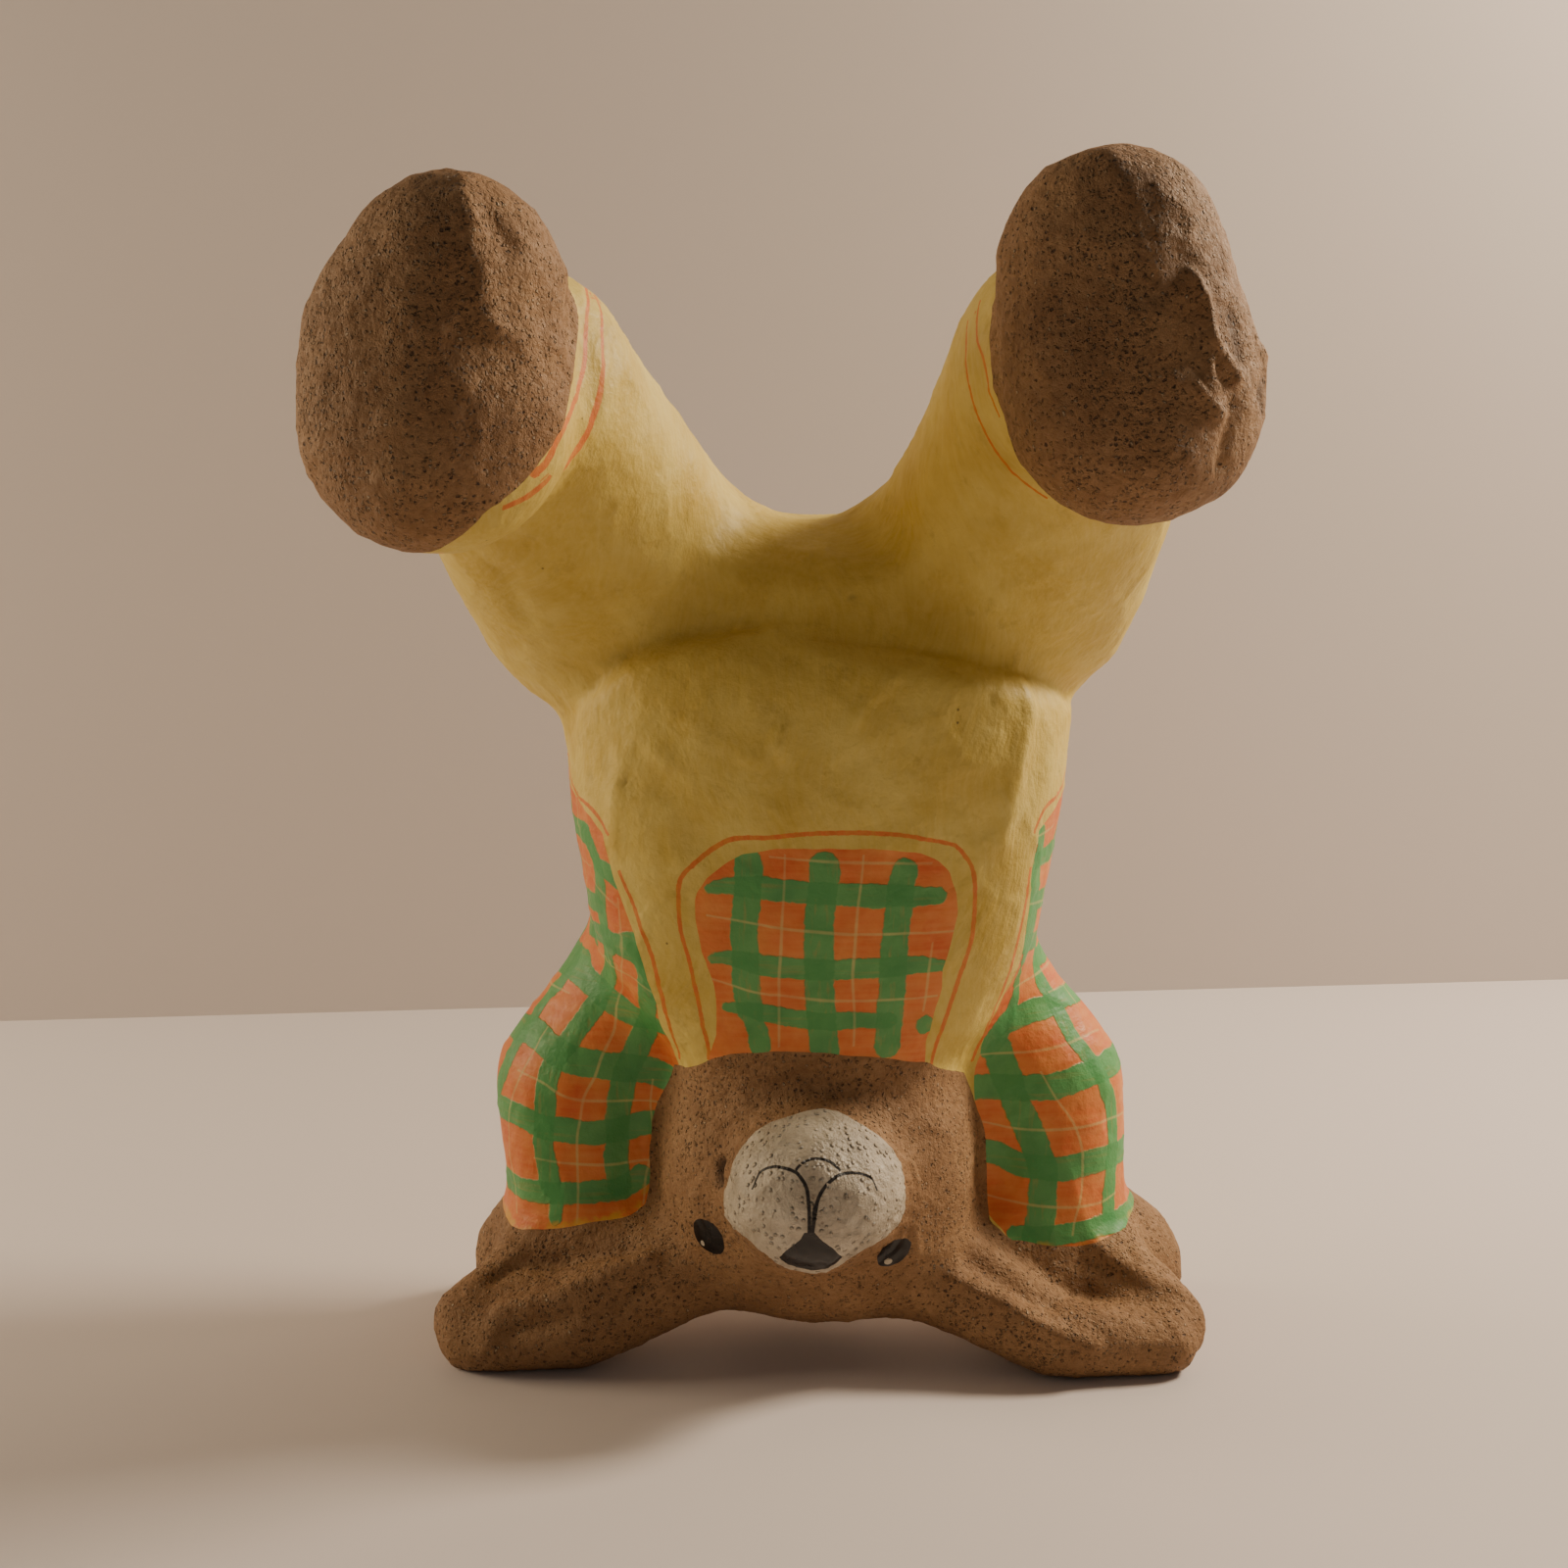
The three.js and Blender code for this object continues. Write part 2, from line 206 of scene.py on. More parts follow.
# Creases, folds and dents that the photograph shows, each a path, a height and a half width in millimetres.
CREASES = ((((608, 700), (628, 678), (667, 659), (712, 648), (768, 641)), -2.0, 4.6),
           (((620, 712), (648, 690), (690, 676), (740, 668)), 1.0, 6.0),
           (((872, 664), (900, 664), (930, 668), (973, 677), (1041, 693), (1090, 716)), -2.4, 4.8),
           (((900, 690), (950, 698), (1000, 706), (1040, 716)), 0.9, 6.0),
           (((1043, 694), (1046, 742), (1036, 791), (1022, 859)), 1.5, 4.0),
           (((634, 771), (629, 815), (627, 859)), 1.1, 3.5),
           (((673, 800), (692, 825), (711, 850)), -1.2, 7.0),
           (((975, 815), (990, 830), (1000, 846)), -1.0, 6.0),
           (((517, 590), (527, 606), (537, 624)), -1.3, 6.0),
           (((857, 752), (880, 722), (905, 700), (925, 679)), 0.6, 1.8),
           (((866, 742), (888, 713), (912, 692)), 0.5, 1.4),
           (((668, 764), (674, 771), (680, 779)), 0.9, 2.6),
           (((764, 772), (775, 775)), 0.9, 2.8),
           (((796, 746), (795, 757), (796, 768)), 2.6, 1.7),
           (((1215, 283), (1223, 300), (1230, 322), (1233, 344), (1241, 358), (1252, 374), (1259, 384)), 2.8, 1.9),
           (((1233, 366), (1233, 385), (1239, 396)), 2.0, 1.7),
           (((1219, 393), (1230, 407), (1244, 423)), 2.0, 2.0),
           (((1252, 322), (1260, 349), (1263, 363)), -1.5, 2.4),
           (((1258, 415), (1255, 437), (1249, 459), (1247, 473)), -1.6, 2.8),
           (((1213, 322), (1213, 363)), -1.4, 4.5),
           (((1288, 392), (1284, 404), (1288, 418)), -1.6, 2.2),
           (((1286, 360), (1289, 366)), 1.2, 2.2),
           (((1130, 160), (1160, 234), (1154, 300), (1150, 350), (1160, 393), (1176, 432), (1197, 459), (1200, 481)),
            1.0, 4.5),
           (((470, 186), (481, 238), (486, 270), (499, 327), (535, 345), (572, 353)), 1.3, 4.0),
           (((494, 212), (507, 233), (520, 254)), -1.2, 3.0),
           (((578, 272), (584, 317), (585, 353), (578, 387)), 0.9, 2.0),
           (((735, 1187), (733, 1196), (734, 1205)), -3.2, 2.0),
           (((504, 1303), (532, 1288), (563, 1289), (604, 1281), (640, 1276)), -3.0, 3.2),
           (((512, 1336), (567, 1324), (608, 1306), (663, 1287)), 2.4, 3.4),
           (((519, 1360), (560, 1347), (600, 1341), (628, 1330), (650, 1312)), -2.3, 3.2),
           (((976, 1306), (998, 1316), (1030, 1330), (1052, 1347), (1084, 1362), (1117, 1373)), 2.3, 2.8),
           (((996, 1288), (1020, 1302), (1045, 1316), (1072, 1328)), -3.6, 5.6),
           (((1080, 1298), (1115, 1304), (1150, 1318)), 1.8, 8.0),
           (((1117, 1269), (1149, 1291), (1182, 1313), (1215, 1330), (1225, 1371)), 1.8, 3.4),
           (((772, 1120), (800, 1112), (850, 1110), (905, 1116)), -0.9, 5.0))
# Ledges, where the skin below the path stands proud of the skin above it: the same three values.
LEDGES = ((((598, 716), (620, 690), (650, 668), (690, 652), (768, 641)), 1.6, 12.0),
          (((872, 656), (905, 658), (945, 664), (990, 674), (1045, 690), (1090, 714)), 1.8, 12.0))
PITS = ((637, 797), (602, 791), (1010, 713), (871, 609))
# How far a fold or a ledge is felt, in half widths, how fast a ledge rises and how wide a pit is, in millimetres.
FOLD_REACH, LEDGE_REACH = 2.6, 2.2
LEDGE_RISE, PIT_WIDTH = 1.6, 1.3
# Creases narrower than this get painted shade: the paint is darkened along them.
SHADED_CREASE_WIDTH = 2.5

lift = 0.9 * mottle(34.0, 1.3) + 0.5 * mottle(13.0, 7.9) + 0.42 * scrap_edges(23.0, 2.7)
folds, painted_hollow_shade = np.zeros(count), np.zeros(count)
for pixels, height, width in CREASES:
    found, far, side, along = near_line(traced(pixels), width * FOLD_REACH)
    folds[found] += height * np.exp(-(far / width) ** 2)
    # Narrow creases darken the paint along them as painted shade.
    if width < SHADED_CREASE_WIDTH:
        painted_hollow_shade[found] += max(-height, 0) * np.exp(-(far / width) ** 2) / 2
for pixels, height, width in LEDGES:
    found, far, side, along = near_line(traced(pixels), width * LEDGE_REACH)
    folds[found] += height * np.tanh(side / LEDGE_RISE) * np.exp(-(far / width) ** 2)
# Each pit is dented, and its paint is darkened as painted shade in the hollow.
for pixel in PITS:
    pit = np.exp(-(np.linalg.norm(skin - seen_at(*pixel), axis=1) / PIT_WIDTH) ** 2)
    folds, painted_hollow_shade = folds - 1.1 * pit, painted_hollow_shade + 0.7 * pit
lift += folds
painted_hollow_shade = np.clip(painted_hollow_shade, 0, 1)


def paint(code):
    """An sRGB hex colour as linear values."""
    parts = [int(code[i:i + 2], 16) / 255 for i in (1, 3, 5)]
    return [p / 12.92 if p <= 0.04045 else ((p + 0.055) / 1.055) ** 2.4 for p in parts] + [1.0]


def node(tree, kind, links=None, **settings):
    """Adds one node with its settings and its inputs, which are plain values or other nodes' outputs."""
    made = tree.nodes.new(kind)
    for name, value in settings.items():
        setattr(made, name, value)
    for socket, value in (links or {}).items():
        if isinstance(value, bpy.types.NodeSocket):
            tree.links.new(value, made.inputs[socket])
        else:
            made.inputs[socket].default_value = value
    return made.outputs


def finish(name):
    """A new material, with its shader and the object's own coordinates in metres."""
    material = bpy.data.materials.new(name)
    material.use_nodes = True
    tree = material.node_tree
    tree.nodes.clear()
    shader = tree.nodes.new("ShaderNodeBsdfPrincipled")
    output = tree.nodes.new("ShaderNodeOutputMaterial")
    tree.links.new(shader.outputs[0], output.inputs[0])
    place = tree.nodes.new("ShaderNodeTexCoord").outputs["Object"]
    return material, tree, shader, place


def blotches(tree, place, scale, detail, roughness, low, high):
    """Soft uneven patches, as a brush or a dabbed coat leaves them, from 0 to 1."""
    patch = node(tree, "ShaderNodeTexNoise",
                 {"Vector": place, "Scale": scale, "Detail": detail, "Roughness": roughness})["Fac"]
    return node(tree, "ShaderNodeMapRange", {"Value": patch, "From Min": low, "From Max": high})["Result"]


def glaze(tree, ground, code, mask, strength):
    """A second colour laid over a ground where a mask says, never stronger than a given share."""
    share = node(tree, "ShaderNodeMath", {0: mask, 1: strength}, operation="MULTIPLY")[0]
    return node(tree, "ShaderNodeMix", {"Factor": share, "A": ground, "B": paint(code)}, data_type="RGBA")[2]


def settle(tree, shader, colour, rise, strength, depth, rough):
    """Gives a finish its colour, its own relief of a given depth in metres, and its roughness."""
    bump = node(tree, "ShaderNodeBump", {"Height": rise, "Strength": strength, "Distance": depth})["Normal"]
    for name, value in (("Base Color", colour), ("Normal", bump), ("Roughness", rough)):
        tree.links.new(value, shader.inputs[name])


# The brown coat of the feet, head, ears and hands: coarse sawdust stirred into brown paint and dabbed on thick.
# Its edges are given as a distance in millimetres into it, positive inside, from the limbs' own forms: it covers the
# head up to the neck, the hands up to the sleeves and the feet up to the trouser cuffs.
LEFT_ARM = ((-57, 2, 122, 32), (-81, 0, 89, 33), (-81, -8, 46, 28))
RIGHT_ARM = ((59, 2, 120, 31), (83, 0, 87, 32), (87, -8, 46, 28))
EARS = (((-42, -38, 33, 18), (-80, -50, 17, 16.5)), ((44, -42, 31, 17), (86, -57, 12.5, 13.5)))
HEAD_MIDDLE = np.array((3, -26, 66))
HEAD_HALF = np.array((55, 50, 54))
NECK_X = (-60, -46.7, -34.9, -27.1, -9, 7.4, 23.8, 40.1, 54.7, 66)
NECK_Z = (100, 104.5, 112.3, 116.5, 118.6, 117.9, 116.1, 111.7, 100.6, 98)
BACK_NECK_Z = 92
LEFT_CUFF = (np.array((-0.19, -0.76, 0.62)), 322.3)
RIGHT_CUFF = (np.array((0.1, -0.97, 0.2)), 186.5)
CUFF_FLARE_FROM, CUFF_FLARE_OVER, CUFF_FLARE = -94, 60, 0.62
COAT_DEPTH, COAT_EDGE = 0.45, 1.6
HEAD_MEAN = 52
NAPE_FROM, NAPE_OVER = -34, 40
LEFT_WRIST = ((-106, -92, -78, -64, -50), (41.5, 45, 48, 50.5, 56))
RIGHT_WRIST = ((70, 81, 95, 110), (42.5, 40.4, 39.2, 41.6))
FEET_ABOVE = 250
OUTSIDE = -30
COARSE = (((1164, 234), (1154, 253), (1164, 283), (1151, 300), (1156, 322), (1148, 349), (1156, 369), (1167, 393),
           (1175, 432), (1197, 459), (1200, 481)),
          ((455, 180), (462, 215), (468, 250), (480, 290), (492, 320)))


def gap_to(*balls):
    """Distance from each point of the skin to a limb, given as balls (x, y, z, radius) strung together."""
    best = np.full(count, BEYOND)
    for first, second in zip(balls, balls[1:]):
        a, d = np.array(first[:3], float), np.array(second[:3], float) - np.array(first[:3], float)
        t = np.clip(((skin - a) @ d) / (d @ d), 0, 1)
        radius = first[3] + t * (second[3] - first[3])
        best = np.minimum(best, np.linalg.norm(skin - a - t[:, None] * d, axis=1) - radius)
    return best


wander = mottle(9.0, 3.1)
to_arm = np.minimum(gap_to(*LEFT_ARM), gap_to(*RIGHT_ARM))
to_ear = np.minimum(gap_to(*EARS[0]), gap_to(*EARS[1]))
to_head = (np.linalg.norm((skin - HEAD_MIDDLE) / HEAD_HALF, axis=1) - 1) * HEAD_MEAN
behind = np.clip((y - NAPE_FROM) / NAPE_OVER, 0, 1)
neck = np.interp(x, NECK_X, NECK_Z) * (1 - behind) + BACK_NECK_Z * behind
head_coat = np.minimum(neck - z, (to_arm - np.minimum(to_head, to_ear)) / 1.6)
wrist = np.where(x < 0, np.interp(x, *LEFT_WRIST), np.interp(x, *RIGHT_WRIST)) + 0.1 * (y + 30)
hand_coat = wrist - z
left_foot = skin @ LEFT_CUFF[0] - LEFT_CUFF[1] + CUFF_FLARE * np.clip(CUFF_FLARE_FROM - x, 0, CUFF_FLARE_OVER)
right_foot = skin @ RIGHT_CUFF[0] - RIGHT_CUFF[1]
foot_coat = np.where(z > FEET_ABOVE, np.where(x < 0, left_foot, right_foot), OUTSIDE)
brown = np.maximum(np.maximum(head_coat, hand_coat), foot_coat) + 0.7 * wander
coarse = np.zeros(count)
for pixels in COARSE:
    found, far, side, along = near_line(traced(pixels), 24)
    coarse[found] = np.maximum(coarse[found], np.exp(-(far / 9.0) ** 2))
lift += np.where(brown > 0, (0.3 + 0.36 * coarse) * mottle(3.6, 4.4) + 0.18 * mottle(5.5, 6.1), 0.0)
lift += COAT_DEPTH * np.clip(brown / COAT_EDGE, 0, 1)

# Sawdust in matt brown paint: a soft sandy ground with single crumbs 0.5 to 1 mm across standing up from it at 1.5 mm
# spacing, more of them in some places, with tiny irregular dark specks beside them, partly pits and partly painted
# shade in the gaps, and a few crumbs painted pale, partly as bare sawdust and partly as a painted highlight.
coat, tree, shader, place = finish("brown_sawdust_coat")
thick = node(tree, "ShaderNodeAttribute", attribute_name="coarse")["Fac"]
stir = node(tree, "ShaderNodeTexNoise", {"Vector": place, "Scale": 800.0, "Detail": 1.0})["Color"]
bent = node(tree, "ShaderNodeVectorMath", {0: stir, "Scale": 0.0016}, operation="SCALE")["Vector"]
bent = node(tree, "ShaderNodeVectorMath", {0: place, 1: bent}, operation="ADD")["Vector"]
crowd = node(tree, "ShaderNodeTexNoise", {"Vector": place, "Scale": 32.0, "Detail": 3.0})["Fac"]
crowd = node(tree, "ShaderNodeMapRange", {"Value": crowd, "From Min": 0.36, "From Max": 0.66})["Result"]
crowd = node(tree, "ShaderNodeMath", {0: thick, 1: 0.7, 2: crowd}, operation="MULTIPLY_ADD")[0]
crumb = node(tree, "ShaderNodeTexVoronoi", {"Vector": bent, "Scale": 660.0})
parts = node(tree, "ShaderNodeSeparateColor", {"Color": crumb["Color"]})
share = node(tree, "ShaderNodeMath", {0: crowd, 1: 0.55, 2: 0.3}, operation="MULTIPLY_ADD")[0]
there = node(tree, "ShaderNodeMath", {0: parts["Red"], 1: share}, operation="LESS_THAN")[0]
dome = node(tree, "ShaderNodeMapRange",
            {"Value": crumb["Distance"], "From Min": 0.1, "From Max": 0.42, "To Min": 1.0, "To Max": 0.0},
            interpolation_type="SMOOTHSTEP")["Result"]
dome = node(tree, "ShaderNodeMath", {0: dome, 1: there}, operation="MULTIPLY")[0]
patch = blotches(tree, place, 38.0, 5.0, 0.6, 0.32, 0.68)
sand = node(tree, "ShaderNodeTexNoise", {"Vector": place, "Scale": 300.0, "Detail": 4.0, "Roughness": 0.7})["Fac"]
ground = node(tree, "ShaderNodeMix", {"Factor": patch, "A": paint("#8a643d"), "B": paint("#a67f55")},
              data_type="RGBA")[2]
fleck = node(tree, "ShaderNodeMapRange", {"Value": sand, "From Min": 0.42, "From Max": 0.68, "To Max": 0.45})["Result"]
ground = node(tree, "ShaderNodeMix", {"Factor": fleck, "A": ground, "B": paint("#6e4d2f")}, data_type="RGBA")[2]
ground = glaze(tree, ground, "#c69d68", dome, 0.28)
# A few crumbs painted pale: partly bare sawdust, partly a painted highlight on the crumbs.
pale_crumb_and_highlight = node(tree, "ShaderNodeMath", {0: parts["Green"], 1: 0.9}, operation="GREATER_THAN")[0]
pale_crumb_and_highlight = node(tree, "ShaderNodeMath", {0: pale_crumb_and_highlight, 1: dome}, operation="MULTIPLY")[0]
ground = glaze(tree, ground, "#dfc6a4", pale_crumb_and_highlight, 0.55)
# Dark specks beside the crumbs: partly pits in the relief, partly painted shade in the gaps between crumbs.
bits = node(tree, "ShaderNodeTexVoronoi", {"Vector": bent, "Scale": 560.0})
chance = node(tree, "ShaderNodeSeparateColor", {"Color": bits["Color"]})["Blue"]
share = node(tree, "ShaderNodeMath", {0: crowd, 1: 0.26, 2: 0.07}, operation="MULTIPLY_ADD")[0]
pick = node(tree, "ShaderNodeMath", {0: chance, 1: share}, operation="LESS_THAN")[0]
speck = node(tree, "ShaderNodeMapRange",
             {"Value": bits["Distance"], "From Min": 0.16, "From Max": 0.32, "To Min": 1.0, "To Max": 0.0})["Result"]
speck = node(tree, "ShaderNodeMath", {0: speck, 1: pick}, operation="MULTIPLY")[0]
ground = glaze(tree, ground, "#3b291a", speck, 0.72)
# Painted shade: the brown is darkened in narrow creases and pits.
hollow_shade = node(tree, "ShaderNodeAttribute", attribute_name="painted_hollow_shade")["Fac"]
colour = glaze(tree, ground, "#33231a", hollow_shade, 0.7)
rise = node(tree, "ShaderNodeMath", {0: sand, 1: 1.1, 2: dome}, operation="MULTIPLY_ADD")[0]
rise = node(tree, "ShaderNodeMath", {0: rise, 1: speck}, operation="SUBTRACT")[0]
rough = node(tree, "ShaderNodeMapRange",
             {"Value": sand, "From Min": 0.3, "From Max": 0.7, "To Min": 0.6, "To Max": 0.85})["Result"]
settle(tree, shader, colour, rise, 1.0, 0.0014, rough)


def depth_in(outline, across, along):
    """Distance into a closed outline drawn on a flat pair of coordinates, positive inside."""
    outline = np.array(outline, float)
    start, step = outline, np.roll(outline, -1, 0) - outline
    here = np.stack((across, along), 1)
    best, inside = np.full(len(here), BEYOND), np.zeros(len(here), bool)
    for a, d in zip(start, step):
        offset = here - a
        t = np.clip((offset @ d) / (d @ d + 1e-9), 0, 1)
        best = np.minimum(best, np.linalg.norm(offset - t[:, None] * d, axis=1))
        crosses = (a[1] > here[:, 1]) != (a[1] + d[1] > here[:, 1])
        with np.errstate(divide="ignore", invalid="ignore"):
            at = a[0] + (here[:, 1] - a[1]) * d[0] / (d[1] if abs(d[1]) > 1e-9 else 1e-9)
        inside ^= crosses & (here[:, 0] < at)
    return np.where(inside, best, -best)


# The plaid shirt under the dungarees: orange poster paint, then broad green bands and thin cream lines by brush.
# It shows in the neckline, on the sleeves and in the armholes, and in a smaller neckline at the back.
NECKLINE = ((722, 1100), (724, 1078), (731, 1056), (731, 1028), (728, 1004), (716, 973), (711, 949), (709, 919),
            (710, 911), (720, 897), (739, 882), (757, 873), (789, 867), (848, 866), (908, 867), (937, 870), (957, 878),
            (969, 890), (975, 909), (977, 933), (971, 961), (963, 988), (961, 1008), (953, 1038), (945, 1064),
            (944, 1100))
LEFT_ARMHOLE = ((590, 811), (604, 828), (621, 849), (631, 886), (656, 954), (678, 1026), (691, 1079))
RIGHT_ARMHOLE = ((1080, 812), (1056, 844), (1047, 890), (1042, 944), (1031, 997), (1015, 1029), (993, 1077))
TRUNK_AXIS = (3.0, -8.0)
TRUNK_RADIUS = 72.0
NO_SHIRT = -40.0
ARMHOLE_TOP = (90, 213)
BACK_ARMHOLE = ((110, 204), (124, 184), (133, 158), (137, 130), (138, 104), (150, 92), (165, 84), (165, -20))
BACK_WINDOW = ((-33, 60), (-33, 128), (-26, 143), (-12, 149), (18, 149), (32, 143), (39, 128), (39, 60))

unrolled = np.arctan2(x - TRUNK_AXIS[0], -(y - TRUNK_AXIS[1])) * TRUNK_RADIUS
neck_outline = [seen_at(u, v)[[0, 2]] for u, v in NECKLINE]
neck_window = np.where(y < -20, depth_in(neck_outline, x, z), NO_SHIRT)


def unroll(place):
    """A place on the trunk as millimetres round it and up it."""
    return math.atan2(place[0] - TRUNK_AXIS[0], -(place[1] - TRUNK_AXIS[1])) * TRUNK_RADIUS, place[2]


armhole = np.full(count, NO_SHIRT)
for pixels, hand in ((LEFT_ARMHOLE, -1), (RIGHT_ARMHOLE, 1)):
    side_middle = hand * math.pi / 2 * TRUNK_RADIUS
    front = [unroll(seen_at(u, v)) for u, v in pixels]
    front = [(hand * min(abs(a), abs(side_middle) - 3), b) for a, b in front]
    front.append((front[-1][0] - hand * 4, -20))
    back = [(hand * math.radians(turn) * TRUNK_RADIUS, up) for turn, up in reversed(BACK_ARMHOLE)]
    loop = front + back + [(side_middle, ARMHOLE_TOP[1])]
    armhole = np.maximum(armhole, depth_in(loop, unrolled, z))
back_window = np.where(y > 10, depth_in(BACK_WINDOW, x, z), NO_SHIRT)
shirt = np.maximum(np.maximum(neck_window, armhole - 2.4), back_window) + 0.5 * wander

# Pixels of each band's middle, with half its width in millimetres last.
LEVEL_BANDS = (((722, 908), (739, 905), (769, 906), (799, 909), (838, 912), (868, 913), (898, 914), (927, 914),
                (958, 914), (1.0, 3.1, 3.5, 3.5, 3.4, 3.3, 2.2)),
               ((726, 979), (745, 977), (769, 982), (799, 987), (836, 989), (868, 989), (908, 986), (937, 985),
                (963, 986), (1.2, 3.2, 3.4, 3.2, 3.2, 3.0, 1.6)),
               ((742, 1027), (765, 1030), (799, 1037), (836, 1042), (868, 1041), (908, 1041),
                (1.0, 2.8, 2.8, 2.8, 2.4)),
               ((599, 850), (610, 879), (622, 889), (632, 899), 2.6),
               ((617, 952), (631, 963), (648, 961), (656, 973), 3.3),
               ((1052, 879), (1068, 872), 2.8), ((1041, 963), (1056, 955), 3.2),
               ((603, 942), (616, 954), (631, 965), (651, 976), (663, 993), 3.8),
               ((583, 984), (596, 995), (612, 1010), (629, 1023), (652, 1037), (676, 1049), 4.4),
               ((544, 1052), (577, 1078), (620, 1088), (661, 1091), (686, 1104), 4.6),
               ((508, 1124), (529, 1136), (549, 1148), (577, 1153), (609, 1156), (642, 1150), (679, 1145), 3.9),
               ((526, 1208), (549, 1216), (577, 1217), (609, 1216), (631, 1214), (646, 1205), (655, 1199), 3.4),
               ((1008, 1069), (1024, 1046), (1046, 1035), (1073, 1024), (1100, 1009), 3.6),
               ((994, 1109), (1019, 1109), (1053, 1110), (1086, 1106), (1113, 1095), (1131, 1086), 4.2),
               ((994, 1176), (1015, 1176), (1037, 1187), (1055, 1191), (1082, 1193), (1109, 1187), (1143, 1174), 3.9),
               ((1037, 1260), (1064, 1262), (1097, 1258), (1124, 1251), (1137, 1247), 3.2))
UPRIGHT_BANDS = (((763, 879), (764, 890), (763, 915), (760, 939), (760, 969), (761, 998), (763, 1018), (766, 1032),
                  4.1),
                 ((766, 1032), (773, 1050), (775, 1068), 3.0),
                 ((841, 883), (841, 899), (836, 929), (836, 969), (836, 1008), (838, 1038), (841, 1070), 4.4),
                 ((924, 889), (921, 899), (917, 929), (914, 949), (912, 979), (910, 1008), (908, 1038), (905, 1068),
                  4.0),
                 ((597, 850), (603, 862), (610, 880), (614, 900), (615, 934), (619, 952), (624, 963), 3.2),
                 ((1053, 891), (1050, 927), (1047, 959), (1043, 981), (1038, 1008), (1031, 1034), (1020, 1052), 1.9),
                 ((592, 971), (577, 995), (553, 1025), (537, 1051), (518, 1086), (510, 1110), 3.0),
                 ((622, 960), (621, 973), (620, 1002), (610, 1021), (594, 1043), (581, 1062),
                  (566, 1082), (559, 1103), (557, 1125), (555, 1147), (555, 1169), (559, 1190), (561, 1210), 3.6),
                 ((650, 973), (660, 995), (661, 1017), (661, 1034), (655, 1060), (642, 1086), (634, 1114), (631, 1147),
                  (629, 1179), (631, 1208), 4.0),
                 ((568, 1218), (568, 1230), (567, 1243), 2.2),
                 ((1019, 1073), (1026, 1095), (1035, 1120), (1048, 1149), (1057, 1171), (1064, 1193), (1064, 1216),
                  (1062, 1243), (1057, 1260), 4.7),
                 ((1055, 975), (1062, 1001), (1077, 1024), (1091, 1051), (1106, 1073), (1122, 1095), (1131, 1120),
                  (1135, 1144), (1135, 1176), (1133, 1209), (1133, 1243), 3.0),
                 ((1062, 850), (1058, 890), (1052, 952), (1044, 975), 2.6),
                 ((944, 1044), (944, 1047), 2.5))
THREADS = (((801, 876), (800, 909), (798, 939), (797, 969), (795, 998), (795, 1028), (795, 1064)),
           ((881, 876), (879, 899), (875, 929), (872, 969), (870, 998), (872, 1038), (871, 1064)),
           ((951, 965), (948, 988), (945, 1018), (943, 1028)),
           ((789, 875), (828, 878), (868, 880), (949, 881)),
           ((724, 935), (749, 939), (799, 947), (838, 951), (878, 953), (927, 952), (974, 950)),
           ((722, 998), (749, 1006), (769, 1012), (799, 1016), (836, 1020), (868, 1021), (908, 1020), (953, 1017)),
           ((608, 899), (631, 925)), ((632, 920), (635, 953), (637, 975)), ((615, 973), (628, 983)),
           ((1056, 854), (1075, 842)), ((1048, 922), (1064, 917)),
           ((1036, 1008), (1055, 995), (1071, 981)), ((1086, 1006), (1097, 1024)),
           ((633, 952), (635, 984), (632, 1017), (629, 1034), (627, 1051), (614, 1078), (607, 1099), (596, 1119),
            (592, 1143), (589, 1160), (589, 1190), (590, 1219), (589, 1244)),
           ((557, 1051), (546, 1071), (533, 1095), (523, 1125), (520, 1147), (523, 1190), (529, 1234)),
           ((666, 1104), (664, 1125), (666, 1147), (666, 1169), (659, 1201), (657, 1225)),
           ((611, 969), (622, 982), (642, 995), (668, 1013)),
           ((531, 1093), (553, 1104), (577, 1119), (598, 1123), (642, 1123), (676, 1125)),
           ((549, 1182), (564, 1185), (588, 1188), (631, 1188), (676, 1186)),
           ((993, 1077), (1019, 1075), (1053, 1073), (1086, 1066), (1120, 1051)),
           ((997, 1144), (1030, 1150), (1064, 1153), (1097, 1151), (1131, 1142), (1144, 1135)),
           ((1004, 1218), (1030, 1225), (1064, 1231), (1097, 1232), (1124, 1227), (1137, 1218)),
           ((1064, 1097), (1077, 1120), (1093, 1142), (1102, 1164), (1105, 1187), (1104, 1216), (1097, 1247),
            (1095, 1258)))
TOP_BAND_ENDS = ((599, 850), (1068, 872))
ARM_HEIGHTS = (46, 89, 122)
LEFT_ARM_X = (-81, -81, -57)
RIGHT_ARM_X = (87, 83, 59)
ARM_Y = -4
ARM_REACH, SHOULDER_REACH, TRUNK_REACH = 46, 60, 130
# On the hidden sides, half widths and places follow the front: turns are in degrees from the front to the outer side,
# levels in millimetres above the table.
SLEEVE_BANDS = slice(8, 16)
ARM_LEVELS, BACK_LEVELS = (36, 56, 80, 102, 120), (146, 165, 183, 200)
BAND_TURNS, THREAD_TURNS = ((130, 96), (172, 114), (214, 132)), ((150, 105), (193, 123))
SIDE_BANDS, SIDE_THREADS = ((165, 60), (138, 84)), ((178, 62), (152, 76), (126, 84))
TOP_BAND_LEVEL, BEHIND_ARM_TURN, LAST_TURN = 190, 84, 148
HIDDEN_HALF, BACK_HALF = 3.2, 3.4


def skin_round(middle, turn, hand, level, reach=TRUNK_REACH):
    """Where the skin lies at a turn, in degrees from the front to the outer side, round a limb's upright middle."""
    way = Vector((hand * math.sin(math.radians(turn)), -math.cos(math.radians(turn)), 0))
    return touch.ray_cast(Vector((middle[0], middle[1], level)), way, reach)[0]


def arm_x(hand, level):
    """The middle of an arm at a level."""
    return float(np.interp(level, ARM_HEIGHTS, LEFT_ARM_X if hand < 0 else RIGHT_ARM_X))


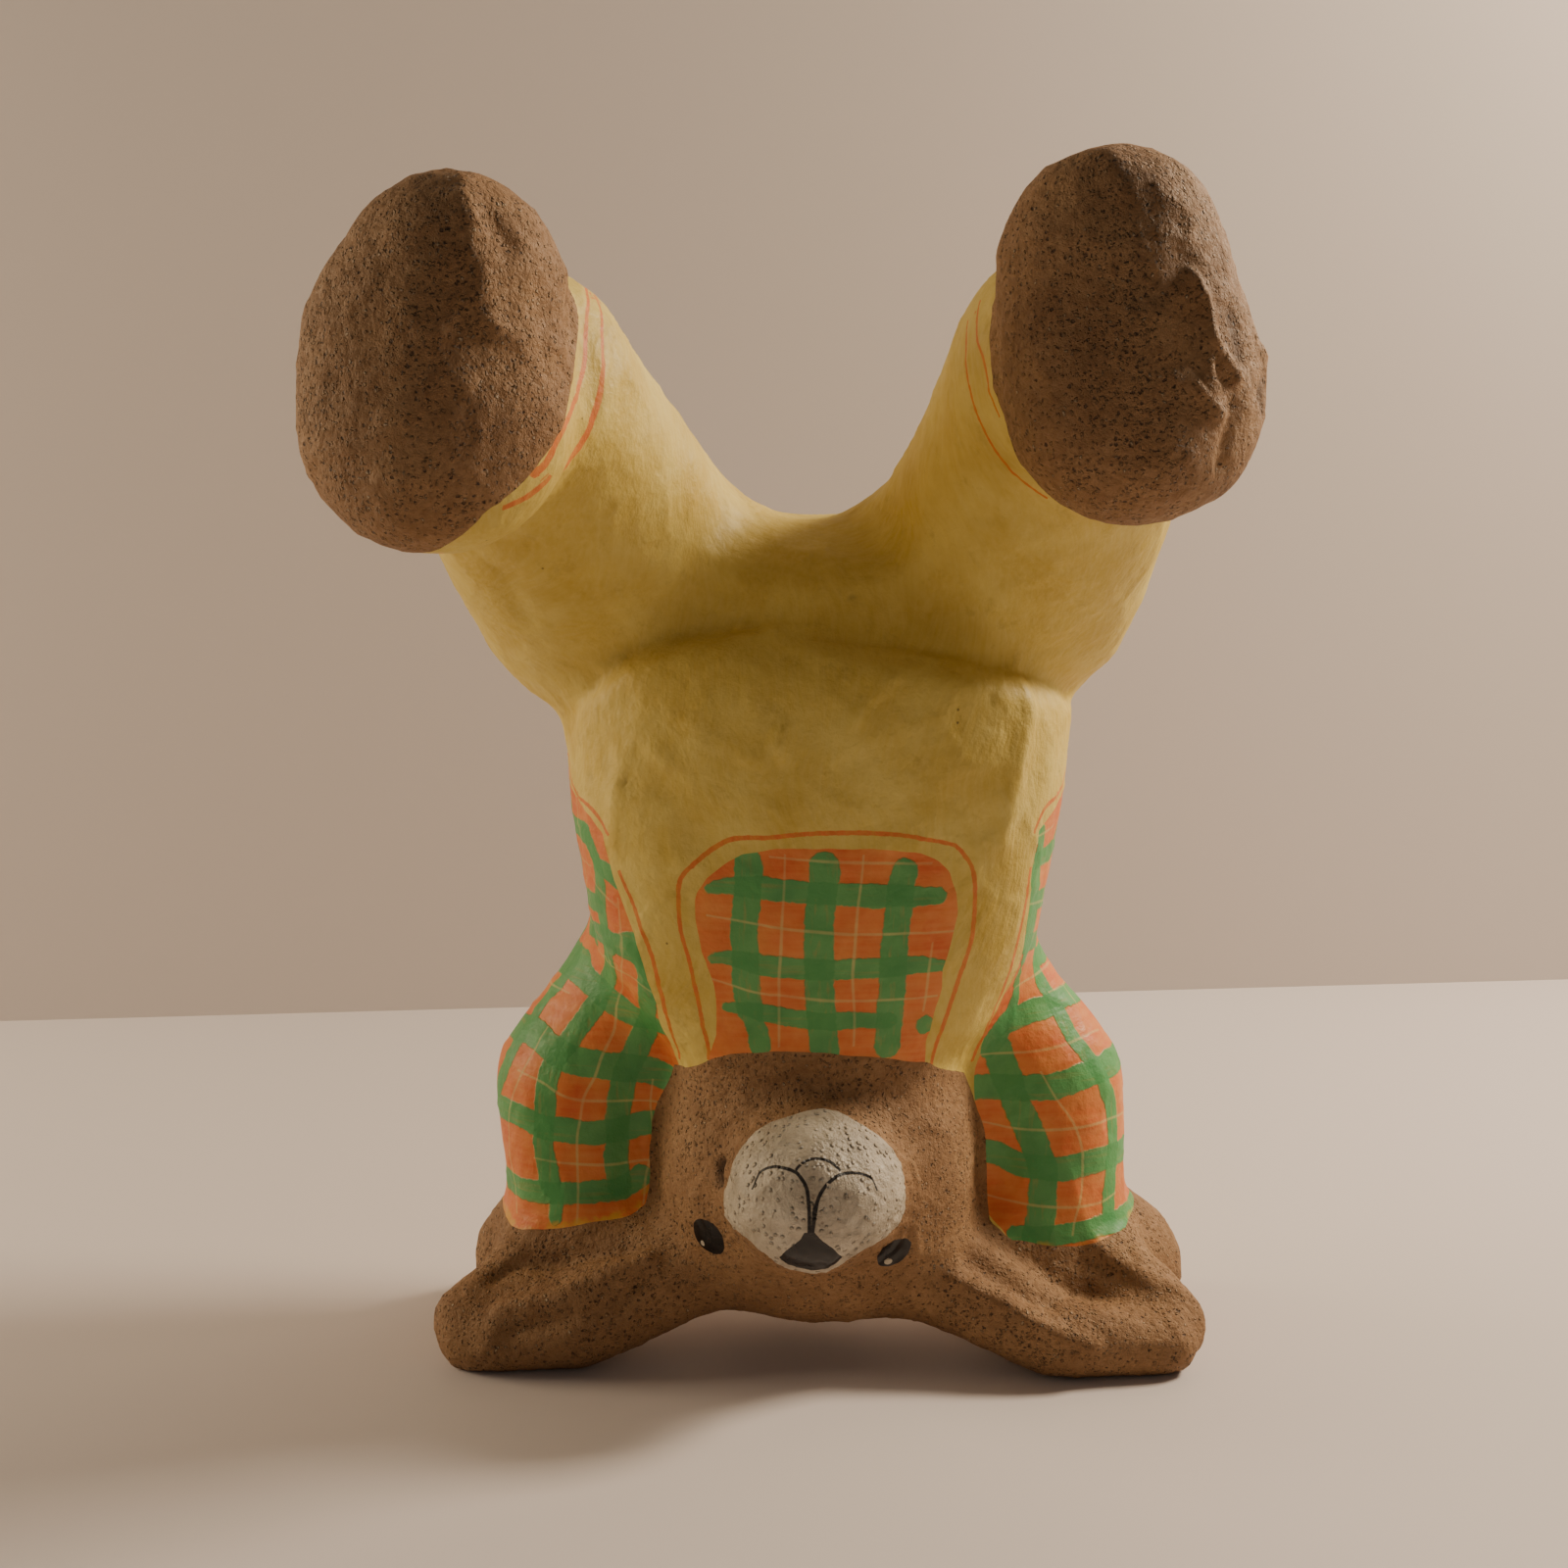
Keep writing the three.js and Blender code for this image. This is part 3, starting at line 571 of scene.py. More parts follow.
def round_arm(path, hand):
    """Carries a level band on round the hidden side of its arm, from its outer end to its inner one."""
    ends = []
    for place in (path[0], path[-1]):
        outward = hand * (place[0] - arm_x(hand, place[2]))
        ends.append((math.degrees(math.atan2(outward, -(place[1] - ARM_Y))), place[2]))
    (first, top), (last, low) = sorted(ends, reverse=True)
    runs = [[]]
    for share in np.linspace(0.0, 1.0, 15):
        level = top + (low - top) * share
        turn = first + (last + 360 - first) * share
        place = skin_round((arm_x(hand, level), ARM_Y), turn, hand, level, ARM_REACH)
        if place is not None:
            runs[-1].append(place)
        elif runs[-1]:
            runs.append([])
    return [hand_line(run) for run in runs if len(run) > 2]


def up_the_side(hand, turn, levels):
    """A line up the trunk at one turn from the front."""
    return [skin_round(TRUNK_AXIS, turn, hand, level) for level in levels]


def up_the_back(hand, arm_turn, trunk_turn):
    """A line up the back of an arm and on up the back of the trunk."""
    places = [skin_round((arm_x(hand, level), ARM_Y), arm_turn, hand, level, SHOULDER_REACH) for level in ARM_LEVELS]
    places += up_the_side(hand, trunk_turn, BACK_LEVELS)
    return hand_line([place for place in places if place is not None])


def round_the_trunk(hand, level, first, start=()):
    """A level line round the trunk from one turn to the back, after any places that it starts from."""
    places = list(start) + [skin_round(TRUNK_AXIS, turn, hand, level) for turn in np.arange(first, LAST_TURN + 1, 8)]
    return hand_line([place for place in places if place is not None])


def from_behind(places):
    """A path through places given by x and z on the back."""
    found = [touch.ray_cast(Vector((across, 200, up)), Vector((0, -1, 0)))[0] for across, up in places]
    return hand_line([place for place in found if place is not None])


level_lines = [(traced(band[:-1]), band[-1]) for band in LEVEL_BANDS]
upright_lines = [(traced(band[:-1]), band[-1]) for band in UPRIGHT_BANDS]
level_threads, upright_threads = [], []
for pixels in THREADS:
    (first_u, first_v), (last_u, last_v) = pixels[0], pixels[-1]
    steep = abs(first_u - last_u) < abs(first_v - last_v)
    (upright_threads if steep else level_threads).append(traced(pixels))
for path, half in level_lines[SLEEVE_BANDS]:
    hand = -1 if path[0][0] < 0 else 1
    for run in round_arm(path, hand):
        level_lines.append((run, half))
for hand in (-1, 1):
    for arm_turn, trunk_turn in BAND_TURNS:
        upright_lines.append((up_the_back(hand, arm_turn, trunk_turn), BACK_HALF))
    for arm_turn, trunk_turn in THREAD_TURNS:
        upright_threads.append(up_the_back(hand, arm_turn, trunk_turn))
    top_end = seen_at(*TOP_BAND_ENDS[hand > 0])
    level_lines.append((round_the_trunk(hand, TOP_BAND_LEVEL, BEHIND_ARM_TURN, [top_end]), HIDDEN_HALF))
    for level, first in SIDE_BANDS:
        level_lines.append((round_the_trunk(hand, level, first), HIDDEN_HALF))
    for level, first in SIDE_THREADS:
        level_threads.append(round_the_trunk(hand, level, first))
    upright_lines.append((hand_line(up_the_side(hand, 78, (148, 165, 183, 203))), HIDDEN_HALF))
    for turn in (68, 87):
        upright_threads.append(hand_line(up_the_side(hand, turn, (152, 168, 184, 204))))
for across in (-12, 14):
    upright_lines.append((from_behind([(across, 60), (across + 1, 90), (across - 1, 120), (across, 152)]), 3.8))
for across in (-25, 1, 29):
    upright_threads.append(from_behind([(across, 60), (across, 90), (across + 1, 120), (across, 152)]))
for up in (135, 108, 85):
    level_lines.append((from_behind([(-38, up), (-18, up - 2), (4, up), (24, up - 1), (42, up + 1)]), BACK_HALF))
    level_threads.append(from_behind([(-38, up - 13), (-15, up - 15), (5, up - 14), (24, up - 15), (42, up - 13)]))


def band_depth(lines, margin=5, none=-6.0):
    """Distance into the nearest of some brushed bands, positive inside; a half width may change along its band."""
    depth = np.full(count, none)
    for path, half in lines:
        halves = np.atleast_1d(half)
        if len(halves) == 1:
            halves = halves.repeat(2)
        found, far, side, along = near_line(path, halves.max() + margin)
        width = np.interp(along, np.linspace(0, 1, len(halves)), halves)
        depth[found] = np.maximum(depth[found], width - far)
    return depth


def brush_line(strokes, reach=4.5, none=9.0):
    """For thin strokes, each a path with its half widths from start to end: side, distance and half width."""
    line_side, line_far, line_half = np.full(count, none), np.full(count, none), np.zeros(count)
    for path, halves in strokes:
        found, far, side, along = near_line(path, reach)
        closer = far < line_far[found]
        rows = found[closer]
        line_far[rows] = far[closer]
        line_side[rows] = side[closer]
        line_half[rows] = np.interp(along[closer], np.linspace(0, 1, len(halves)), halves)
    return line_side, line_far, line_half


level_band = band_depth(level_lines) + 0.5 + 0.6 * mottle(7.0, 8.3)
upright_band = band_depth(upright_lines) + 0.5 + 0.6 * mottle(7.0, 5.7)
THREAD_HALVES = (0.35, 0.55, 0.4)
level_side, level_far, level_half = brush_line([(path, THREAD_HALVES) for path in level_threads])
upright_side, upright_far, upright_half = brush_line([(path, THREAD_HALVES) for path in upright_threads])
hem = np.exp(-(np.clip(brown, -20, 0) / 3.4) ** 2) * np.clip((66 - z) / 10, 0, 1) * np.where(x < 0, 1.0, 0.5)


def line_edge(tree, name):
    """A thin stroke by its attributes: how far inside its edge a point lies, how far off its path, its half width."""
    side = node(tree, "ShaderNodeAttribute", attribute_name=name + "_side")["Fac"]
    far = node(tree, "ShaderNodeAttribute", attribute_name=name + "_far")["Fac"]
    half = node(tree, "ShaderNodeAttribute", attribute_name=name + "_half")["Fac"]
    off = node(tree, "ShaderNodeMath", {0: side}, operation="ABSOLUTE")[0]
    return node(tree, "ShaderNodeMath", {0: half, 1: off}, operation="SUBTRACT")[0], far, half


# Poster paint, slightly satin where it lies thick: orange ground mottled by the brush, single green coats that let
# the orange through in streaks, deeper green where two bands cross, and thin cream lines half soaked in.
plaid, tree, shader, place = finish("plaid_poster_paint")
ragged = node(tree, "ShaderNodeTexNoise", {"Vector": place, "Scale": 480.0, "Detail": 2.0})["Fac"]
ragged = node(tree, "ShaderNodeMapRange", {"Value": ragged, "To Min": -0.7, "To Max": 0.7})["Result"]
bands, covers, grains = [], [], []
for name, stretch in (("level_band", (45.0, 45.0, 620.0)), ("upright_band", (620.0, 620.0, 45.0))):
    depth = node(tree, "ShaderNodeAttribute", attribute_name=name)["Fac"]
    depth = node(tree, "ShaderNodeMath", {0: depth, 1: ragged}, operation="ADD")[0]
    band = node(tree, "ShaderNodeMapRange", {"Value": depth, "From Min": -0.25, "From Max": 0.25})["Result"]
    grain = node(tree, "ShaderNodeMapping", {"Vector": place, "Scale": stretch})["Vector"]
    grain = node(tree, "ShaderNodeTexNoise", {"Vector": grain, "Scale": 1.0, "Detail": 2.0})["Fac"]
    thin = node(tree, "ShaderNodeMapRange",
                {"Value": grain, "From Min": 0.25, "From Max": 0.45, "To Min": 0.8, "To Max": 1.0})["Result"]
    bands.append(band)
    covers.append(node(tree, "ShaderNodeMath", {0: band, 1: thin}, operation="MULTIPLY")[0])
    grains.append(grain)
single = node(tree, "ShaderNodeMath", {0: covers[0], 1: covers[1]}, operation="MAXIMUM")[0]
double = node(tree, "ShaderNodeMath", {0: bands[0], 1: bands[1]}, operation="MULTIPLY")[0]
patch = blotches(tree, place, 75.0, 4.0, 0.6, 0.33, 0.67)
streak = node(tree, "ShaderNodeMapRange", {"Value": grains[0], "From Min": 0.35, "From Max": 0.7})["Result"]
ground = node(tree, "ShaderNodeMix", {"Factor": patch, "A": paint("#d65e24"), "B": paint("#e2873e")},
              data_type="RGBA")[2]
ground = glaze(tree, ground, "#e69b50", streak, 0.35)
green = node(tree, "ShaderNodeMix", {"Factor": patch, "A": paint("#4d9550"), "B": paint("#61a65c")},
             data_type="RGBA")[2]
colour = node(tree, "ShaderNodeMix", {"Factor": single, "A": ground, "B": green}, data_type="RGBA")[2]
colour = glaze(tree, colour, "#3f9349", double, 0.6)
fade = node(tree, "ShaderNodeMapRange", {"Value": patch, "To Min": 0.28, "To Max": 0.62})["Result"]
for name in ("level", "upright"):
    edge, far, half = line_edge(tree, name)
    line = node(tree, "ShaderNodeMapRange", {"Value": edge, "From Min": -0.2, "From Max": 0.25})["Result"]
    close = node(tree, "ShaderNodeMath", {0: far, 1: 1.7}, operation="LESS_THAN")[0]
    line = node(tree, "ShaderNodeMath", {0: line, 1: close}, operation="MULTIPLY")[0]
    line = node(tree, "ShaderNodeMath", {0: line, 1: fade}, operation="MULTIPLY")[0]
    colour = node(tree, "ShaderNodeMix", {"Factor": line, "A": colour, "B": paint("#d6c47c")}, data_type="RGBA")[2]
edging = node(tree, "ShaderNodeAttribute", attribute_name="hem")["Fac"]
edging = node(tree, "ShaderNodeMath", {0: edging, 1: patch}, operation="MULTIPLY")[0]
edging = node(tree, "ShaderNodeMapRange",
              {"Value": edging, "From Min": 0.3, "From Max": 0.5, "To Max": 0.8})["Result"]
colour = node(tree, "ShaderNodeMix", {"Factor": edging, "A": colour, "B": paint("#d3a23e")}, data_type="RGBA")[2]
# Painted shade: the plaid is darkened in narrow creases and pits.
hollow_shade = node(tree, "ShaderNodeAttribute", attribute_name="painted_hollow_shade")["Fac"]
colour = glaze(tree, colour, "#5a3a20", hollow_shade, 0.5)
grain = node(tree, "ShaderNodeTexNoise", {"Vector": place, "Scale": 230.0, "Detail": 4.0, "Roughness": 0.6})["Fac"]
rise = node(tree, "ShaderNodeMath", {0: single, 1: 0.35, 2: grain}, operation="MULTIPLY_ADD")[0]
rough = node(tree, "ShaderNodeMapRange",
             {"Value": grain, "From Min": 0.3, "From Max": 0.7, "To Min": 0.42, "To Max": 0.62})["Result"]
settle(tree, shader, colour, rise, 0.7, 0.0008, rough)


# The yellow dungarees: matt poster paint over the paper, brushed on unevenly, with their seams drawn in orange.
# A seam line runs round the neckline, both armholes and each cuff, and round the smaller neckline at the back.
STITCHES = ((((723, 1079), (722, 1064), (716, 1038), (709, 1008), (702, 979), (694, 949), (692, 919), (694, 897),
              (710, 880), (730, 865), (751, 856), (785, 855), (819, 851), (868, 850), (917, 852), (947, 857),
              (975, 863), (985, 874), (993, 888), (995, 919), (991, 959), (981, 992), (971, 1024), (959, 1058), (952, 1084)),
             (0.8, 0.7, 0.85, 0.8, 0.7, 0.9, 0.8)),
            (((589, 812), (604, 826), (621, 849)), (0.6, 0.9, 0.7)),
            (((634, 891), (644, 916), (653, 941), (665, 977), (676, 1016), (684, 1046), (693, 1079)), (0.7, 0.9, 0.75)),
            (((1079, 812), (1067, 824), (1056, 846)), (0.6, 0.9, 0.7)),
            (((1050, 888), (1047, 906), (1043, 931), (1036, 963), (1029, 991), (1022, 1011), (1013, 1031), (1006, 1052),
              (992, 1079)), (0.7, 0.9, 0.75)),
            (((595, 288), (599, 317), (597, 345), (595, 374), (586, 408), (572, 442), (557, 474), (546, 482)),
             (0.5, 0.8, 1.3, 1.5)),
            (((608, 306), (614, 343), (614, 382), (608, 416), (591, 453), (576, 476)), (0.4, 0.7, 1.2, 1.6)),
            (((559, 489), (541, 505), (517, 517)), (1.2, 1.1, 0.9)),
            (((1001, 310), (999, 320), (998, 345), (1004, 371), (1018, 423)), (0.45, 0.5, 0.4)),
            (((989, 330), (987, 351), (989, 392), (1004, 440), (1028, 475), (1066, 506)), (0.4, 0.5, 0.45)))
ARMHOLE_STITCH_ENDS = ((589, 812), (1079, 812))
LEFT_ANKLE = ((-101, -111, 337), (-0.19, -0.76, 0.62), (316, 309))
RIGHT_ANKLE = ((86, -101, 340), (0.1, -0.97, 0.2), (183, 174))
ANKLE_REACH, FACING_AWAY = 75, 0.12
BACK_STITCH = ((-38, 66), (-38, 128), (-30, 147), (-13, 154), (4, 155), (19, 154), (36, 147), (44, 128), (44, 66))


def round_ankle(middle, axis, level):
    """The hidden part of a seam line round a cuff: rays from the leg's middle come out through the skin."""
    middle, along = Vector(middle), Vector(axis)
    axis = along.normalized()
    up = (Vector((0, 0, 1)) - axis * axis.z).normalized()
    right = axis.cross(up)
    runs = [[]]
    for turn in range(0, 361, 10):
        way = up * math.cos(math.radians(turn)) + right * math.sin(math.radians(turn))
        lower = 0.0
        for step in range(4):
            start = middle + along * ((level - lower - middle.dot(along)) / along.length_squared)
            place, facing = touch.ray_cast(start, way, ANKLE_REACH)[:2]
            if place is not None and middle.x < 0:
                lower = CUFF_FLARE * min(max(CUFF_FLARE_FROM - place.x, 0), CUFF_FLARE_OVER)
        if place is not None and facing.dot((Vector(CAMERA_PLACE) - place).normalized()) < FACING_AWAY:
            runs[-1].append(place)
        elif runs[-1]:
            runs.append([])
    return [hand_line(run) for run in runs if len(run) > 2]


strokes = [(traced(pixels), halves) for pixels, halves in STITCHES]
for middle, axis, levels in (LEFT_ANKLE, RIGHT_ANKLE):
    for level in levels:
        strokes += [(run, (0.6, 0.8, 0.6)) for run in round_ankle(middle, axis, level)]
for hand in (-1, 1):
    places = [seen_at(*ARMHOLE_STITCH_ENDS[hand > 0])]
    places += [skin_round(TRUNK_AXIS, turn + 1 + (turn - 86) / 12, hand, up + 4)
               for turn, up in (ARMHOLE_TOP,) + BACK_ARMHOLE[:5]]
    strokes.append((hand_line([place for place in places if place is not None]), (0.7, 0.9, 0.7)))
strokes.append((from_behind(BACK_STITCH), (0.8, 0.7, 0.9, 0.75)))
stitch_side, stitch_far, stitch_half = brush_line(strokes)


def specks(tree, place, scale, share, size):
    """Single small round specks: a share of the cells of a scattered pattern, each speck of a given part of a cell."""
    bits = node(tree, "ShaderNodeTexVoronoi", {"Vector": place, "Scale": scale})
    chance = node(tree, "ShaderNodeSeparateColor", {"Color": bits["Color"]})["Red"]
    pick = node(tree, "ShaderNodeMath", {0: chance, 1: share}, operation="LESS_THAN")[0]
    speck = node(tree, "ShaderNodeMath", {0: bits["Distance"], 1: size}, operation="LESS_THAN")[0]
    return node(tree, "ShaderNodeMath", {0: speck, 1: pick}, operation="MULTIPLY")[0]


# Poster paint on newsprint: chalky, with bristle streaks about 1 mm wide, duller patches 20 to 40 mm across, small
# dark pits where the paper was bare, and painted shade darkening the folds. It is matt, a little smoother where the
# brush went twice.
yellow, tree, shader, place = finish("yellow_poster_paint")
patch = blotches(tree, place, 34.0, 4.0, 0.62, 0.34, 0.66)
ground = node(tree, "ShaderNodeMix", {"Factor": patch, "A": paint("#c7a844"), "B": paint("#dcc468")},
              data_type="RGBA")[2]
swirl = node(tree, "ShaderNodeTexNoise", {"Vector": place, "Scale": 16.0, "Detail": 1.0})["Color"]
swirl = node(tree, "ShaderNodeVectorMath", {0: swirl, "Scale": 0.05}, operation="SCALE")["Vector"]
swirl = node(tree, "ShaderNodeVectorMath", {0: place, 1: swirl}, operation="ADD")["Vector"]
bristle = node(tree, "ShaderNodeMapping",
               {"Vector": swirl, "Rotation": (0.0, 0.35, 0.0), "Scale": (520.0, 520.0, 48.0)})["Vector"]
bristle = node(tree, "ShaderNodeTexNoise", {"Vector": bristle, "Scale": 1.0, "Detail": 3.0, "Roughness": 0.55})["Fac"]
streak = node(tree, "ShaderNodeMapRange",
              {"Value": bristle, "From Min": 0.36, "From Max": 0.68, "To Max": 0.22})["Result"]
ground = node(tree, "ShaderNodeMix", {"Factor": streak, "A": ground, "B": paint("#e3cf7c")}, data_type="RGBA")[2]
scuff = node(tree, "ShaderNodeTexNoise", {"Vector": place, "Scale": 95.0, "Detail": 5.0, "Roughness": 0.7})["Fac"]
scuff = node(tree, "ShaderNodeMapRange",
             {"Value": scuff, "From Min": 0.58, "From Max": 0.74, "To Max": 0.45})["Result"]
ground = node(tree, "ShaderNodeMix", {"Factor": scuff, "A": ground, "B": paint("#a18432")}, data_type="RGBA")[2]
pit = specks(tree, place, 190.0, 0.05, 0.09)
ground = glaze(tree, ground, "#4d3a1c", pit, 0.65)
# Painted shade: the yellow is darkened in narrow creases and pits.
hollow_shade = node(tree, "ShaderNodeAttribute", attribute_name="painted_hollow_shade")["Fac"]
ground = glaze(tree, ground, "#6f5528", hollow_shade, 0.5)
edge, far, half = line_edge(tree, "stitch")
ragged = node(tree, "ShaderNodeTexNoise", {"Vector": place, "Scale": 500.0, "Detail": 1.0})["Fac"]
ragged = node(tree, "ShaderNodeMapRange", {"Value": ragged, "To Min": -0.3, "To Max": 0.3})["Result"]
edge = node(tree, "ShaderNodeMath", {0: edge, 1: ragged}, operation="ADD")[0]
line = node(tree, "ShaderNodeMapRange", {"Value": edge, "From Min": -0.15, "From Max": 0.15})["Result"]
reach = node(tree, "ShaderNodeMath", {0: half, 1: 0.5, 2: 1.2}, operation="MULTIPLY_ADD")[0]
close = node(tree, "ShaderNodeMath", {0: far, 1: reach}, operation="LESS_THAN")[0]
line = node(tree, "ShaderNodeMath", {0: line, 1: close}, operation="MULTIPLY")[0]
soak = node(tree, "ShaderNodeMapRange",
            {"Value": bristle, "From Min": 0.3, "From Max": 0.6, "To Min": 0.7, "To Max": 0.98})["Result"]
line = node(tree, "ShaderNodeMath", {0: line, 1: soak}, operation="MULTIPLY")[0]
colour = node(tree, "ShaderNodeMix", {"Factor": line, "A": ground, "B": paint("#d8702a")}, data_type="RGBA")[2]
grain = node(tree, "ShaderNodeTexNoise", {"Vector": place, "Scale": 240.0, "Detail": 4.0, "Roughness": 0.6})["Fac"]
rise = node(tree, "ShaderNodeMath", {0: bristle, 1: 0.28, 2: grain}, operation="MULTIPLY_ADD")[0]
rise = node(tree, "ShaderNodeMath", {0: rise, 1: pit}, operation="SUBTRACT")[0]
rough = node(tree, "ShaderNodeMapRange",
             {"Value": bristle, "From Min": 0.3, "From Max": 0.7, "To Min": 0.72, "To Max": 0.54})["Result"]
settle(tree, shader, colour, rise, 0.75, 0.0009, rough)


# The face: a domed muzzle in off-white paint over the grit, a black nose and mouth lines, and two black eyes, each
# with a dab of white in it. They are drawn as flat shapes seen from the front, as the painter saw them.
MUZZLE = ((739, 1216), (743, 1201), (749, 1185), (758, 1170), (769, 1156), (785, 1145), (803, 1140), (821, 1136),
          (839, 1133), (854, 1135), (868, 1142), (883, 1152), (897, 1163), (908, 1174), (916, 1187), (920, 1203),
          (922, 1219), (921, 1236), (914, 1250), (901, 1263), (883, 1273), (868, 1282), (854, 1292), (841, 1297),
          (823, 1298), (807, 1294), (796, 1288), (783, 1277), (767, 1265), (749, 1252), (741, 1241), (739, 1230))
NOSE = ((821, 1256), (817, 1264), (803, 1274), (796, 1281), (803, 1288), (814, 1292), (830, 1294), (845, 1292),
        (854, 1287), (859, 1281), (850, 1273), (839, 1265), (831, 1256))
EYES = (((724.5, 1261), (21, 12), 54), ((912, 1277), (20, 10.7), -34))
GLINTS = (((718.5, 1267.5), (3.4, 1.9), 62), ((905.5, 1286), (4.2, 3.2), -20))
MOUTH = (((769, 1211), (772, 1204), (777, 1196), (785, 1192), (794, 1191), (805, 1194), (812, 1196), (818, 1203),
          (823, 1212), (825, 1225), (826, 1241), (826, 1258)),
         ((893, 1212), (889, 1204), (881, 1199), (872, 1197), (859, 1198), (850, 1203), (841, 1212), (835, 1223),
          (832, 1236), (829, 1256)),
         ((812, 1195), (816, 1190), (825, 1184), (836, 1183), (847, 1186), (855, 1192), (859, 1197)))
MUZZLE_FRONT, EYES_FRONT = -52, -30


def picture_place(places):
    """The pixel of the photograph at which each place on the figure is seen, and how deep it lies."""
    dx, dy, dz = (places - CAMERA_PLACE).T
    deep = dy * math.sin(CAMERA_TILT) - dz * math.cos(CAMERA_TILT)
    rise = dy * math.cos(CAMERA_TILT) + dz * math.sin(CAMERA_TILT)
    return PHOTO_MIDDLE + PIXELS_TO_FOCUS * dx / deep, PHOTO_MIDDLE - PIXELS_TO_FOCUS * rise / deep, deep


u, v, deep = picture_place(skin)
scale = deep / PIXELS_TO_FOCUS
muzzle = np.where(y < MUZZLE_FRONT, depth_in(MUZZLE, u, v) * scale, OUTSIDE)
nose = np.where(y < MUZZLE_FRONT, depth_in(NOSE, u, v) * scale, OUTSIDE)


def oval(middle, half, tilt):
    """Distance into an oval on the photograph, in millimetres, positive inside."""
    c, s = math.cos(math.radians(tilt)), math.sin(math.radians(tilt))
    a, b = u - middle[0], v - middle[1]
    along, across = (a * c + b * s) / half[0], (b * c - a * s) / half[1]
    return (1 - np.sqrt(along ** 2 + across ** 2)) * min(half) * scale


eyes = np.where(y < EYES_FRONT, np.maximum(oval(*EYES[0]), oval(*EYES[1])), OUTSIDE)
glints = np.where(y < EYES_FRONT, np.maximum(oval(*GLINTS[0]), oval(*GLINTS[1])), OUTSIDE)
left_cheek, right_cheek, lip = MOUTH
cheeks = [(traced(left_cheek), (0.4, 0.6, 0.65)), (traced(right_cheek)[::-1], (0.65, 0.6, 0.4))]
mouth_side, mouth_far, mouth_half = brush_line(cheeks)
lip_side, lip_far, lip_half = brush_line([(traced(lip), (0.45, 0.55, 0.5))])
lift += 0.3 * np.clip(eyes / 2.5, 0, 1) + 0.2 * np.clip(nose / 2.5, 0, 1)

# Off-white poster paint laid thick enough to fill most of the grit: a soft pebbled surface, some specks left dark.
white, tree, shader, place = finish("white_poster_paint")
patch = blotches(tree, place, 110.0, 4.0, 0.6, 0.33, 0.67)
ground = node(tree, "ShaderNodeMix", {"Factor": patch, "A": paint("#a99c87"), "B": paint("#cdc1ab")},
              data_type="RGBA")[2]
colour = glaze(tree, ground, "#5c4636", specks(tree, place, 330.0, 0.04, 0.22), 0.4)
for name in ("mouth", "lip"):
    edge, far, half = line_edge(tree, name)
    line = node(tree, "ShaderNodeMapRange", {"Value": edge, "From Min": -0.1, "From Max": 0.15})["Result"]
    close = node(tree, "ShaderNodeMath", {0: far, 1: 1.1}, operation="LESS_THAN")[0]
    line = node(tree, "ShaderNodeMath", {0: line, 1: close}, operation="MULTIPLY")[0]
    colour = node(tree, "ShaderNodeMix", {"Factor": line, "A": colour, "B": paint("#1a1512")}, data_type="RGBA")[2]
sand = node(tree, "ShaderNodeTexNoise", {"Vector": place, "Scale": 300.0, "Detail": 4.0, "Roughness": 0.65})["Fac"]
crumb = node(tree, "ShaderNodeTexVoronoi", {"Vector": place, "Scale": 520.0})
there = node(tree, "ShaderNodeSeparateColor", {"Color": crumb["Color"]})["Green"]
there = node(tree, "ShaderNodeMath", {0: there, 1: 0.42}, operation="LESS_THAN")[0]
dome = node(tree, "ShaderNodeMapRange",
            {"Value": crumb["Distance"], "From Min": 0.05, "From Max": 0.5, "To Min": 1.0, "To Max": 0.0},
            interpolation_type="SMOOTHSTEP")["Result"]
dome = node(tree, "ShaderNodeMath", {0: dome, 1: there}, operation="MULTIPLY")[0]
rise = node(tree, "ShaderNodeMath", {0: sand, 1: 1.1, 2: dome}, operation="MULTIPLY_ADD")[0]
rough = node(tree, "ShaderNodeMapRange", {"Value": patch, "To Min": 0.55, "To Max": 0.42})["Result"]
settle(tree, shader, colour, rise, 1.0, 0.0015, rough)

# Black gloss enamel, flowed on thick so that it stands a little proud and shows the lamps as small sharp spots; the
# grit below still gives it a faint ripple.
black, tree, shader, place = finish("black_gloss_enamel")
ripple = node(tree, "ShaderNodeTexNoise", {"Vector": place, "Scale": 200.0, "Detail": 2.0})["Fac"]
tone = node(tree, "ShaderNodeMix", {"Factor": ripple, "A": paint("#0d0a09"), "B": paint("#1d1714")},
            data_type="RGBA")[2]
rough = node(tree, "ShaderNodeMapRange", {"Value": ripple, "To Min": 0.22, "To Max": 0.36})["Result"]
settle(tree, shader, tone, ripple, 0.4, 0.0003, rough)


# The finished figure: the skin takes its lumps and folds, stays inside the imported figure's box, and keeps the flats
# that it stands on. Then it is cut along each coat's painted edge, so that every side of an edge keeps one finish.
FLAT_BELOW = 0.6
ON_EDGE = 0.12

shape = skin + out * lift[:, None]
lowest, highest = np.array(cad_box[0]) * 1000 - DRAWING_SHIFT, np.array(cad_box[1]) * 1000 - DRAWING_SHIFT
shape = np.clip(shape, lowest, highest)
shape[:, 2] = np.where(z < FLAT_BELOW, np.maximum(z, 0), shape[:, 2])
figure.data.vertices.foreach_set("co", ((shape + DRAWING_SHIFT) / 1000).ravel())
figure.data.update()

